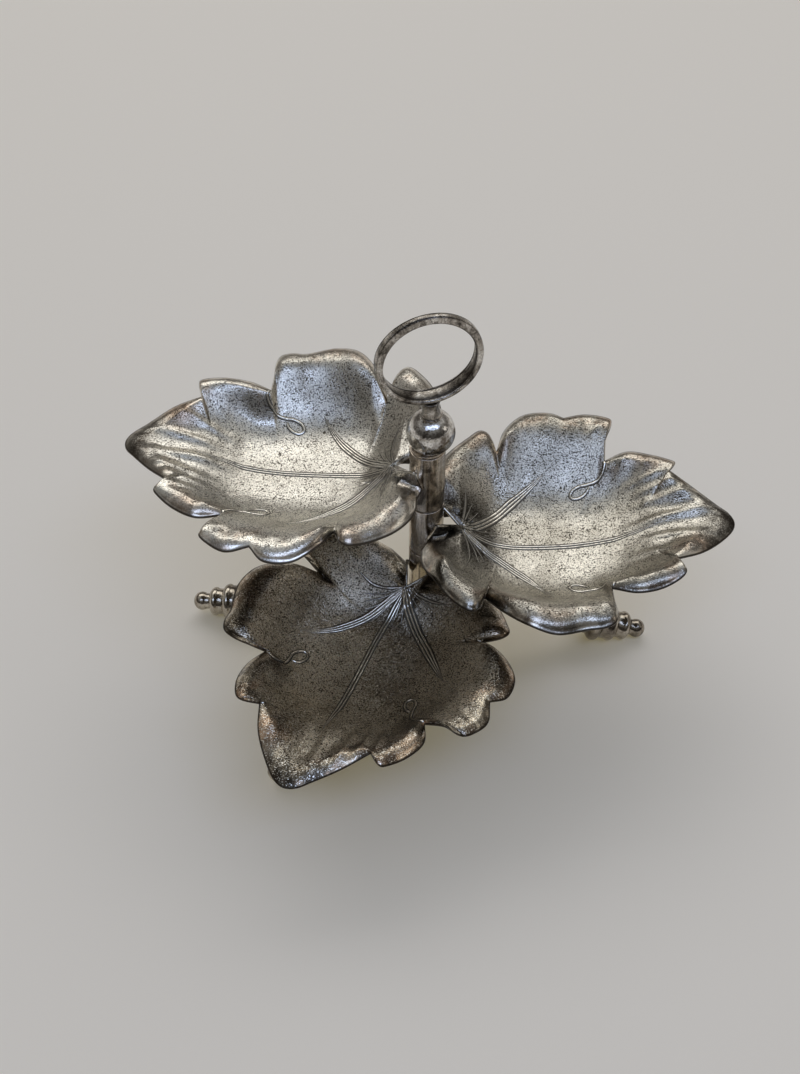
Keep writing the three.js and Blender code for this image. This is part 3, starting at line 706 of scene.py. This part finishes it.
def noise_map(place, scale, detail=3.0, roughness=0.55, distortion=0.0):
    made = node(
        place.id_data, "ShaderNodeTexNoise",
        Scale=scale, Detail=detail, Roughness=roughness, Distortion=distortion,
    )
    place.id_data.links.new(place, made.inputs["Vector"])
    return made.outputs["Fac"]


def ramp(value, stops):
    made = node(value.id_data, "ShaderNodeValToRGB")
    elements = made.color_ramp.elements
    while len(elements) < len(stops):
        elements.new(0.5)
    for element, (position, colour) in zip(elements, stops):
        element.position = position
        if isinstance(colour, (int, float)):
            colour = (colour, colour, colour)
        element.color = (*colour, 1)
    value.id_data.links.new(value, made.inputs["Fac"])
    return made.outputs["Color"]


def blend(share, a, b, mode="MIX"):
    made = node(share.id_data, "ShaderNodeMix", data_type="RGBA", blend_type=mode)
    for key, value in (("Factor", share), ("A", a), ("B", b)):
        socket = [s for s in made.inputs if s.name == key and s.enabled][0]
        if isinstance(value, bpy.types.NodeSocket):
            share.id_data.links.new(value, socket)
        else:
            socket.default_value = (*value, 1)
    return [s for s in made.outputs if s.enabled][0]


def calc(operation, a, b, clamp=False):
    made = node(a.id_data, "ShaderNodeMath", operation=operation, use_clamp=clamp)
    a.id_data.links.new(a, made.inputs[0])
    if isinstance(b, bpy.types.NodeSocket):
        a.id_data.links.new(b, made.inputs[1])
    else:
        made.inputs[1].default_value = b
    return made.outputs[0]


def times(a, b):
    return calc("MULTIPLY", a, b)


def plus(a, b, clamp=False):
    return calc("ADD", a, b, clamp)


def attribute(tree, name):
    return node(tree, "ShaderNodeAttribute", attribute_name=name).outputs["Fac"]


def metal(principled, colour, rough, height, depth):
    """Links a metal's colour and roughness, and its grain as a bump of the given depth in metres."""
    links = colour.id_data.links
    links.new(colour, principled.inputs["Base Color"])
    links.new(rough, principled.inputs["Roughness"])
    principled.inputs["Metallic"].default_value = 1.0
    bump = node(colour.id_data, "ShaderNodeBump", Strength=1.0, Distance=depth)
    links.new(height, bump.inputs["Height"])
    links.new(bump.outputs["Normal"], principled.inputs["Normal"])


def dish_plate(name, bright, mid, dark, gold, worn, relief, stains):
    """Silver plate with a matted ground: black in the pits, gold and brown stains on the lobes, and
    painted shade round the notch, at the tip and along the outer edge.
    """
    material, tree, principled = shader(name)
    place = node(tree, "ShaderNodeTexCoord").outputs["Object"]
    margin = attribute(tree, "margin")
    under = attribute(tree, "under")
    dots = noise_map(place, 1300.0, detail=2.0, roughness=0.5)
    fine = noise_map(place, 2600.0, detail=1.0)
    cluster = noise_map(place, 230.0, detail=2.0)
    broad = noise_map(place, 24.0, detail=3.0, distortion=0.6)
    stain = noise_map(place, 48.0, detail=4.0, roughness=0.62, distortion=0.8)
    streak = noise_map(place, 75.0, detail=4.0, distortion=1.0)

    lobes = ramp(margin, [
        (0.03, 1.0), (0.15, 0.8), (0.3, 0.3), (0.45, 0.8), (0.6, 0.5), (0.8, 0.1), (1.0, 0.0),
    ])
    lobes = times(lobes, stains)
    ground = blend(ramp(broad, [(0.36, 0.0), (0.58, 1.0)]), mid, bright)
    stained = times(ramp(stain, [(0.48, 0.0), (0.6, 1.0)]), lobes)
    gilt = times(attribute(tree, "gilt"), ramp(stain, [(0.34, 0.3), (0.5, 1.0)]))
    ground = blend(calc("MAXIMUM", stained, gilt), ground, gold)
    browned = times(ramp(streak, [(0.4, 0.0), (0.55, 0.93)]), lobes)
    ground = blend(browned, ground, dark)
    # Painted shade: darker round the notch by the column and at the tip, broken up by streaks
    shaded = calc("MAXIMUM", attribute(tree, "notch"), attribute(tree, "tip"))
    shaded = times(shaded, ramp(streak, [(0.36, 0.55), (0.56, 0.95)]))
    ground = blend(shaded, ground, dark)

    matted = ramp(margin, [(0.03, 0.1), (0.12, 0.35), (0.25, 0.75), (0.45, 1.0)])
    mottle = plus(dots, times(calc("SUBTRACT", cluster, 0.5), 0.2))
    pits = ramp(mottle, [(0.4, 1.0), (0.47, 0.0)])
    pits = calc("MAXIMUM", pits, ramp(fine, [(0.38, 0.8), (0.46, 0.0)]))
    depth = times(pits, matted)
    colour = blend(times(depth, 0.97), ground, dark)
    rubbed = times(ramp(mottle, [(0.56, 0.0), (0.64, 1.0)]), worn)
    colour = blend(rubbed, colour, WORN_SILVER)
    # Painted shade: a thin dark line along the outer edge of the rolled rim
    colour = blend(ramp(margin, [(0.0, 0.9), (0.03, 0.75), (0.05, 0.0)]), colour, dark)
    # Darker underneath: tarnish, and painted shade so that the dish below reflects the underside dark
    colour = blend(times(under, 0.88), colour, dark)

    rough = ramp(margin, [(0.05, 0.15), (0.3, 0.16), (0.6, 0.24)])
    rough = plus(rough, times(depth, 0.12))
    rough = plus(rough, times(under, 0.25))
    rough = plus(rough, times(stain, 0.08), clamp=True)
    pebbles = plus(times(mottle, matted), times(cluster, 0.35))
    metal(principled, colour, rough, pebbles, relief)
    return material


def line_plate(name, bright, dark):
    """The chased lines: bright on the ridges, black in the grooves."""
    material, tree, principled = shader(name)
    place = node(tree, "ShaderNodeTexCoord").outputs["Object"]
    groove = attribute(tree, "groove")
    worn = noise_map(place, 500.0, detail=3.0, roughness=0.65)
    filled = ramp(groove, [(0.25, 0.0), (0.7, 1.0)])
    grime = calc("MAXIMUM", filled, ramp(worn, [(0.36, 0.7), (0.46, 0.0)]))
    colour = blend(times(grime, 0.9), bright, dark)
    metal(principled, colour, plus(times(grime, 0.3), 0.13), worn, LINE_GRAIN)
    return material


def smooth_plate(name, bright, mid, dark, roughness, scale, wear, grain):
    """Plain silver plate with cloudy tarnish, pits and fine scratches."""
    material, tree, principled = shader(name)
    place = node(tree, "ShaderNodeTexCoord").outputs["Object"]
    broad = noise_map(place, scale, detail=5.0, roughness=0.62, distortion=0.6)
    fine = noise_map(place, scale * 16, detail=2.0)
    stretch = node(tree, "ShaderNodeMapping")
    stretch.inputs["Scale"].default_value = (1.0, 1.0, 0.12)
    tree.links.new(place, stretch.inputs["Vector"])
    scratches = noise_map(stretch.outputs["Vector"], scale * 12, detail=3.0, roughness=0.7)
    colour = ramp(broad, [(0.36, dark), (0.5, mid), (0.64, bright)])
    spots = ramp(fine, [(0.34, 1.0), (0.46, 0.0)])
    colour = blend(times(spots, wear), colour, dark)
    streaks = ramp(scratches, [(0.38, 1.0), (0.48, 0.0)])
    colour = blend(times(streaks, 0.6 * wear), colour, dark)
    colour = blend(times(attribute(tree, "groove"), 0.92), colour, dark)
    rough = plus(times(broad, 0.16), times(scratches, 0.1))
    rough = plus(rough, roughness - 0.13, clamp=True)
    relief = plus(times(fine, grain), times(broad, 0.5))
    relief = plus(relief, times(scratches, 0.12))
    metal(principled, colour, rough, relief, SMOOTH_GRAIN)
    return material


dish_plates = {level: dish_plate(*values) for level, values in DISH_PLATES.items()}
line_silver = line_plate("chased_line", (0.94, 0.905, 0.82), (0.03, 0.025, 0.02))
line_dark = line_plate("chased_line_dark", (0.95, 0.9, 0.8), (0.02, 0.017, 0.014))
smooth_plates = {use: smooth_plate(*values) for use, values in SMOOTH_PLATES.items()}


def finish_piece(piece, material, body, slot, *nodes):
    """Gives a piece its material and body, and hides the frame nodes that it stands for. The slot is not
    used.
    """
    piece.data.materials.append(material)
    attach(piece, body)
    if nodes:
        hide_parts(*nodes)


def point_values(obj, **fields):
    """Stores a value for each vertex in each named field, for the materials."""
    for name, values in fields.items():
        field = obj.data.attributes.new(name, "FLOAT", "POINT")
        field.data.foreach_set("value", np.asarray(values, dtype=np.float32))


# Dishes
leaf_vertices, leaf_faces, leaf_margin, leaf_under = build_leaf()
leaf_tree = BVHTree.FromPolygons([tuple(v) for v in leaf_vertices], leaf_faces)
leaf_x, leaf_y = leaf_vertices[:, :2].T
from_notch = np.hypot(leaf_x - NOTCH_POINT[0], leaf_y - NOTCH_POINT[1])
# Shares of painted shade round the notch and at the tip, for the material
leaf_notch_shade = np.clip((NOTCH_SHADE_END - from_notch) / NOTCH_SHADE_FADE, 0, 1)
leaf_tip_shade = np.clip((leaf_x - TIP_SHADE_START) / TIP_SHADE_FADE, 0, 1)
leaf_gilt = np.zeros(len(leaf_vertices))
for (x, y), radius, share in GILT:
    gap = np.hypot(leaf_x - x, leaf_y - y)
    leaf_gilt = np.maximum(leaf_gilt, share * np.clip(1.5 - gap / radius, 0, 1))


def surface_at(x, y):
    """Height of the dish's upper face."""
    hit = leaf_tree.ray_cast(Vector((x, y, PROBE_HEIGHT)), Vector((0, 0, -1)))[0]
    return None if hit is None else hit.z


def raised_line(points, half_section, half_width, tall, fade_start=0.1, fade_end=0.3):
    """A strip with ridges and grooves laid on the dish: vertices, faces and groove shares."""
    left = [(-shift, rise, groove) for shift, rise, groove in reversed(half_section) if shift]
    section = left + half_section
    centre = centripetal([(x, y, 0) for x, y in points], samples=30)[0][:, :2]
    heading = np.gradient(centre, axis=0)
    heading /= np.linalg.norm(heading, axis=1)[:, None]
    across = np.stack([-heading[:, 1], heading[:, 0]], axis=1)
    share = np.linspace(0, 1, len(centre))
    swell = np.clip(0.3 + 0.7 * share / fade_start, 0, 1) * np.clip((1 - share) / fade_end, 0, 1) ** 0.7
    rows = []
    for place, side, size in zip(centre, across, swell):
        size = max(size, LINE_LEAST)
        row = []
        for shift, rise, groove in section:
            x, y = place + side * shift * half_width * size
            ground = surface_at(x, y)
            if ground is None:
                break
            row.append((x, y, ground + LINE_LIFT + rise * tall * size ** 0.6))
        else:
            rows.append(row)
    width = len(section)
    top = [p for row in rows for p in row]
    low = [(x, y, z - LINE_DEPTH) for x, y, z in top]
    vertices = top + low
    under = len(top)
    faces = []
    for k in range(len(rows) - 1):
        for s in range(width - 1):
            a = k * width + s
            faces.append((a, a + width, a + width + 1, a + 1))
            faces.append((under + a, under + a + 1, under + a + width + 1, under + a + width))
        for a, b in ((k * width, (k + 1) * width), ((k + 2) * width - 1, (k + 1) * width - 1)):
            faces.append((a, under + a, under + b, b))
    last = (len(rows) - 1) * width
    for s in range(width - 1):
        faces.append((s, s + 1, under + s + 1, under + s))
        faces.append((last + s, under + last + s, under + last + s + 1, last + s + 1))
    return vertices, faces, [groove for shift, rise, groove in section] * (2 * len(rows))


def joined(parts):
    """Several meshes' vertices and faces as one."""
    vertices = []
    faces = []
    for more, sides in parts:
        faces += [tuple(i + len(vertices) for i in face) for face in sides]
        vertices += [tuple(v) for v in more]
    return np.array(vertices), faces


strips = [raised_line(*vein) for vein in VEINS]
strips += [raised_line(points, FAINT_LINE, FAN_HALF_WIDTH, FAN_RISE) for points in FAN]
for loop in (LEFT_LOOP, RIGHT_LOOP):
    strips.append(raised_line(loop, SINGLE_LINE, LOOP_HALF_WIDTH, LOOP_RISE, *LOOP_FADES))
lines_vertices, lines_faces = joined([strip[:2] for strip in strips])
lines_groove = [share for strip in strips for share in strip[2]]


def ear_seam(side, end_degrees, bottom):
    """Places along the seam between an ear and the sleeve."""
    angles = np.radians(np.linspace(EAR_START, end_degrees, SEAM_STEPS)) * side
    radius = COLUMN_RADIUS + SEAT_GAP / 2
    heights = np.linspace(EAR_HIGH, bottom, SEAM_STEPS) - LEAF_THICKNESS / 2
    return np.stack([radius * np.cos(angles), radius * np.sin(angles), heights], axis=1)


lips_vertices, lips_faces = joined([
    swept(NOTCH_LIP_LEFT, LIP_RADIUS_LEFT, LIP_TAPER),
    swept(NOTCH_LIP_RIGHT, LIP_RADIUS_RIGHT),
    swept(ear_seam(1, EAR_END_LEFT, EAR_LOW_LEFT), SOLDER_RADIUS),
    swept(ear_seam(-1, EAR_END_RIGHT, EAR_LOW_RIGHT), SOLDER_RADIUS),
])
for level, (bearing, pitch, roll) in LEAF_SEATS.items():
    high = span(f"sleeve_{level}")[1]
    turn = rotation(bearing, pitch, roll)
    lift = np.array([0, 0, high])
    body = f"{level}_dish"
    leaf = obj_from(f"dish_{level}", leaf_vertices @ turn.T + lift, leaf_faces)
    point_values(
        leaf, margin=np.clip(leaf_margin / MARGIN_WIDTH, 0, 1), under=leaf_under,
        notch=leaf_notch_shade * NOTCH_SHADE[level], tip=leaf_tip_shade, gilt=leaf_gilt,
    )
    finish_piece(leaf, dish_plates[level], body, "plated_dish", f"leaf_{level}")
    lines = obj_from(f"dish_{level}_lines", lines_vertices @ turn.T + lift, lines_faces)
    point_values(lines, groove=lines_groove)
    finish_piece(lines, line_dark if level == "lower" else line_silver, body, "plated_dish")
    lips = obj_from(f"dish_{level}_lips", lips_vertices @ turn.T + lift, lips_faces)
    finish_piece(lips, smooth_plates["edge"], body, "plated_dish")

# Column
BORE = ROD_RADIUS + RUNNING_GAP
for level in LEAF_SEATS:
    low, high = span(f"sleeve_{level}")
    wall = COLUMN_RADIUS - SLEEVE_WALL
    profile = rounded([
        (BORE, low), (COLUMN_RADIUS, low), (COLUMN_RADIUS, high), (BORE, high),
        (BORE, high - SLEEVE_END), (wall, high - SLEEVE_END), (wall, low + SLEEVE_END),
        (BORE, low + SLEEVE_END), (BORE, low),
    ], SLEEVE_ROUNDING)
    tube = lathe(f"tube_{level}", profile)
    finish_piece(tube, smooth_plates["column"], f"{level}_dish", "dark_plate", f"sleeve_{level}")

WASHERS = [
    "washer_lower", "washer_upper", "cap_washer", "base_washer", "leg_washer_lower", "leg_washer_upper",
    "spring_washer",
]
for washer in WASHERS:
    low, high = span(washer)
    outer = COLUMN_RADIUS - EDGE_BREAK
    corners = [(BORE, low), (outer, low), (outer, high), (BORE, high), (BORE, low)]
    ring = lathe(f"{washer}_ring", rounded(corners, WASHER_ROUNDING, 3))
    use, slot = ("column", "polished_plate") if washer == "cap_washer" else ("bare", "bare_metal")
    finish_piece(ring, smooth_plates[use], "stand", slot, washer)

low, high = span("base_nut")
nut_radius = COLUMN_RADIUS - NUT_INSET
nut_bore = ROD_RADIUS + SEAT_GAP
profile = [(0, low)] + rounded([
    (nut_radius - NUT_FLAT, low), (nut_radius - NUT_BEVEL, low), (nut_radius, low + NUT_BEVEL),
    (nut_radius, high - EDGE_BREAK), (nut_radius - EDGE_BREAK, high), (nut_bore, high),
    (nut_bore, NUT_FLOOR), (1, NUT_FLOOR),
], NUT_ROUNDING) + [(0, NUT_FLOOR)]
finish_piece(lathe("nut", profile), smooth_plates["column"], "stand", "dark_plate", "base_nut")

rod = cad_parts["tie_rod"]
rod.data.materials.clear()
rod.data.materials.append(smooth_plates["bare"])

# Ball, neck and ring
ball_low = span("ball_finial")[0]
ball_centre = ball_low + math.sqrt(BALL_RADIUS ** 2 - BALL_SEAT_RADIUS ** 2)
ball_top = ball_centre + BALL_RADIUS
rod_bore = ROD_RADIUS + SEAT_GAP + BALL_LEAN
stud_bore = STUD_RADIUS + SEAT_GAP
seat_angle = -math.degrees(math.acos(BALL_SEAT_RADIUS / BALL_RADIUS))
top_angle = math.degrees(math.acos(stud_bore / BALL_RADIUS))
profile = [(0, ball_low + ROD_IN_BALL), (rod_bore, ball_low + ROD_IN_BALL), (rod_bore, ball_low)]
profile += arc_profile(ball_centre, BALL_RADIUS, seat_angle, top_angle, BALL_STEPS)
profile += [(stud_bore, ball_top - STUD_LENGTH), (0, ball_top - STUD_LENGTH)]
ball = lathe("ball", profile)
for vertex in ball.data.vertices:
    vertex.co.x += BALL_LEAN * MM
finish_piece(ball, smooth_plates["ball"], "stand", "polished_plate", "ball_finial")

ring_low, ring_high = span("finger_ring")
ring_centre = (ring_low + ring_high) / 2
ring_turn = math.radians(RING_TURN)
neck_seat = ball_centre + math.sqrt((BALL_RADIUS + SEAT_GAP) ** 2 - NECK_FLARE ** 2)
neck_top = ring_centre - RING_OUTER_RADIUS
stud_end = ball_top - STUD_LENGTH + SEAT_GAP
profile = [(0, stud_end), (STUD_RADIUS, stud_end)]
for radius in np.linspace(STUD_RADIUS, NECK_FLARE, 9):
    profile.append((radius, ball_centre + math.sqrt((BALL_RADIUS + SEAT_GAP) ** 2 - radius ** 2)))
waist = (neck_seat + neck_top) / 2 + SEAT_GAP
profile += rounded([
    (NECK_FLARE, neck_seat + NECK_EDGE), (NECK_FLARE, neck_seat + NECK_FOOT),
    (NECK_RADIUS + EDGE_BREAK, neck_seat + NECK_COVE), (NECK_RADIUS, waist),
    (NECK_RADIUS + NECK_SWELL, neck_top - NECK_SWELL_LENGTH),
    (NECK_RADIUS + NECK_TOP_FLARE, neck_top - NECK_EDGE), (NECK_RADIUS - 1, neck_top), (1, neck_top),
], NECK_ROUNDING)
profile.append((0, neck_top))
neck = lathe("neck", profile)
for vertex in neck.data.vertices:
    x, y, z = (c / MM for c in vertex.co)
    along = (x + NECK_LEAN) * math.cos(ring_turn) + y * math.sin(ring_turn)
    rise = RING_OUTER_RADIUS - math.sqrt(RING_OUTER_RADIUS ** 2 - along ** 2)
    near = min(1, max(0, (z - waist) / (neck_top - waist)))
    lean = BALL_LEAN + (NECK_LEAN - BALL_LEAN) * min(1, max(0, (z - ball_top) / (neck_top - ball_top)))
    vertex.co.x += lean * MM
    vertex.co.z += (rise - NECK_CLEARANCE) * near ** 2 * MM
finish_piece(neck, smooth_plates["ring"], "stand", "polished_plate", "ring_neck")


def ring_band():
    """The finger ring: thick and narrow at the top, thin and wide at the bottom, lined near each rim."""
    corners = RING_SECTION + [(depth, -width) for depth, width in reversed(RING_SECTION)]
    corners.append(RING_SECTION[0])
    stretched = [(depth, width * RING_STRETCH) for depth, width in corners]
    section = rounded(stretched, RING_ROUNDING, 2)[:-1]
    vertices = []
    rings = []
    for k in range(RING_SEGMENTS):
        angle = 2 * math.pi * k / RING_SEGMENTS
        low = (1 - math.sin(angle)) / 2
        thickness = RING_THICKNESS_TOP + (RING_THICKNESS_BOTTOM - RING_THICKNESS_TOP) * low
        width = RING_WIDTH_TOP + (RING_WIDTH_BOTTOM - RING_WIDTH_TOP) * low
        rings.append(range(len(vertices), len(vertices) + len(section)))
        for depth, across in section:
            radius = RING_OUTER_RADIUS - (1 - depth) * thickness
            x = radius * math.cos(angle)
            y = across / RING_STRETCH * width / 2
            vertices.append((
                x * math.cos(ring_turn) - y * math.sin(ring_turn),
                x * math.sin(ring_turn) + y * math.cos(ring_turn),
                radius * math.sin(angle) + ring_centre,
            ))
    ring = obj_from("ring", vertices, bands(rings + rings[:1], flip=True), TURNED_SHARP)
    dark = [RING_LINE[0] < abs(across) / RING_STRETCH < RING_LINE[1] for depth, across in section]
    point_values(ring, groove=dark * RING_SEGMENTS)
    return ring


finish_piece(ring_band(), smooth_plates["ring"], "stand", "polished_plate", "finger_ring")

# Legs
bead_centres = [0.0]
for before, after in zip(BEAD_HALF_LENGTHS, BEAD_HALF_LENGTHS[1:]):
    bead_centres.append(bead_centres[-1] + (before + after) * BEAD_OVERLAP)


def tip_height(eye_centre, reach):
    """Height of the tip bead at which the lowest bead just wears flat on the table."""
    height = BEAD_RADII[0] - REST_HEIGHT
    for _ in range(30):
        slope = math.atan2(eye_centre - height, reach - COLUMN_RADIUS)
        height = -REST_HEIGHT - FOOT_WEAR
        for radius, half, centre in zip(BEAD_RADII, BEAD_HALF_LENGTHS, bead_centres):
            drop = math.hypot(radius * math.cos(slope), half * math.sin(slope))
            height = max(height, drop - centre * math.sin(slope) - REST_HEIGHT - FOOT_WEAR)
    return height


def leg_profile(length):
    """Outline of an arm from its tip: radius and distance along it."""
    points = [(0, -BEAD_HALF_LENGTHS[0])]
    for i, radius in enumerate(BEAD_RADII):
        following = BEAD_RADII[i + 1] if i + 1 < len(BEAD_RADII) else ARM_RADIUS_OUTER + BEAD_NECK
        groove = min(radius, following) - BEAD_NECK
        before = 0 if i == 0 else min(radius, BEAD_RADII[i - 1]) - BEAD_NECK
        start = math.asin(min(1, before / radius))
        end = math.pi - math.asin(min(1, groove / radius))
        for k in range(1 if i == 0 else 0, BEAD_STEPS + 1):
            angle = start + (end - start) * k / BEAD_STEPS
            along = bead_centres[i] - BEAD_HALF_LENGTHS[i] * math.cos(angle)
            points.append((radius * math.sin(angle), along))
    shoulder = bead_centres[-1] + BEAD_HALF_LENGTHS[-1]
    points.append((ARM_RADIUS_OUTER + ARM_SWELL, shoulder + ARM_SHOULDER / 2))
    points.append((ARM_RADIUS_OUTER, shoulder + ARM_SHOULDER))
    points.append((ARM_RADIUS_INNER, length))
    return points


def arm_mesh(profile, reach, tip, slope):
    """The turned arm, lying along X from the tip bead in to the side of its eye."""
    vertices = []
    rings = []
    for radius, along in profile:
        count = ARM_SEGMENTS if radius > 0 else 1
        rings.append(range(len(vertices), len(vertices) + count))
        for k in range(count):
            angle = 2 * math.pi * k / ARM_SEGMENTS
            y = radius * math.cos(angle)
            z = radius * math.sin(angle)
            x = reach - along * math.cos(slope) + z * math.sin(slope)
            if along == profile[-1][1]:
                x = math.sqrt((COLUMN_RADIUS + ARM_CLEARANCE) ** 2 - y ** 2)
            height = tip + along * math.sin(slope) + z * math.cos(slope)
            vertices.append((x, y, max(height, -REST_HEIGHT)))
    return vertices, bands(rings, flip=True) + [tuple(rings[-1])]


for side, (bearing, reach) in LEGS.items():
    body = f"{side}_leg"
    low, high = span(f"eye_{side}")
    eye_centre = (low + high) / 2
    tip = tip_height(eye_centre, reach)
    run = reach - COLUMN_RADIUS
    length = math.hypot(run, eye_centre - tip)
    vertices, faces = arm_mesh(leg_profile(length), reach, tip, math.atan2(eye_centre - tip, run))
    turn = np.array(Matrix.Rotation(math.radians(bearing), 3, "Z"))
    arm = obj_from(f"arm_{side}", np.array(vertices) @ turn.T, faces, TURNED_SHARP)
    finish_piece(arm, smooth_plates["leg"], body, "dark_plate", f"leg_{side}")
    eye = lathe(f"eye_{side}_ring", rounded([
        (BORE, low), (COLUMN_RADIUS, low), (COLUMN_RADIUS, high), (BORE, high), (BORE, low),
    ], EYE_ROUNDING))
    finish_piece(eye, smooth_plates["leg"], body, "dark_plate", f"eye_{side}")

# Floor
floor_height = -REST_HEIGHT * MM
floor_mesh = bpy.data.meshes.new("floor")
corners = [(-1, -1), (1, -1), (1, 1), (-1, 1)]
floor_corners = [(FLOOR_REACH * x, FLOOR_REACH * y, floor_height) for x, y in corners]
floor_mesh.from_pydata(floor_corners, [], [(0, 1, 2, 3)])
floor = added("floor", floor_mesh)
floor_material, tree, principled = shader("floor")
principled.inputs["Base Color"].default_value = (*FLOOR_COLOUR, 1)
principled.inputs["Roughness"].default_value = 0.9
principled.inputs["Specular IOR Level"].default_value = 0.1
seen = node(tree, "ShaderNodeLightPath")
shown = calc("MAXIMUM", seen.outputs["Is Camera Ray"], seen.outputs["Is Glossy Ray"])
principled.inputs["Emission Color"].default_value = (*FLOOR_GLOW, 1)
tree.links.new(shown, principled.inputs["Emission Strength"])
floor.data.materials.append(floor_material)

# Light
for name, place, width, height, radiance, colour in LAMPS:
    light = bpy.data.lights.new(name, "AREA")
    light.shape = "RECTANGLE"
    light.size = width
    light.size_y = height
    light.energy = radiance * math.pi * width * height
    light.color = colour
    lamp = added(name, light)
    lamp.location = place
    lamp.rotation_euler = (Vector(LAMP_TARGET) - Vector(place)).to_track_quat("-Z", "Y").to_euler()

world = bpy.data.worlds.new("room")
bpy.context.scene.world = world
world.use_nodes = True
tree = world.node_tree
tree.nodes.clear()
world_output = tree.nodes.new("ShaderNodeOutputWorld")
direction = node(tree, "ShaderNodeTexCoord").outputs["Generated"]
split = tree.nodes.new("ShaderNodeSeparateXYZ")
tree.links.new(direction, split.inputs[0])
colour = ramp(split.outputs["Z"], ROOM_COLOURS)
depth = times(plus(split.outputs["Y"], 1.0), 0.5)
shade = ramp(depth, ROOM_SHADE)
above = ramp(split.outputs["Z"], ROOM_SHADE_START)
room = node(tree, "ShaderNodeBackground", Strength=1.0)
tree.links.new(blend(above, colour, shade, mode="MULTIPLY"), room.inputs["Color"])
tree.links.new(room.outputs[0], world_output.inputs["Surface"])

# Camera
camera_data = bpy.data.cameras.new("camera")
camera_data.lens = CAMERA_LENS
camera_data.sensor_fit = "VERTICAL"
camera_data.sensor_height = CAMERA_SENSOR
camera_data.clip_start = 0.01
camera = added("camera", camera_data)
camera.matrix_world = (
    Matrix.Translation(CAMERA_PLACE)
    @ Matrix.Rotation(math.radians(CAMERA_TILT), 4, "X")
    @ Matrix.Rotation(math.radians(CAMERA_ROLL), 4, "Z")
)
bpy.context.scene.camera = camera
bpy.context.scene.view_settings.view_transform = "Standard"

bpy.context.view_layer.update()
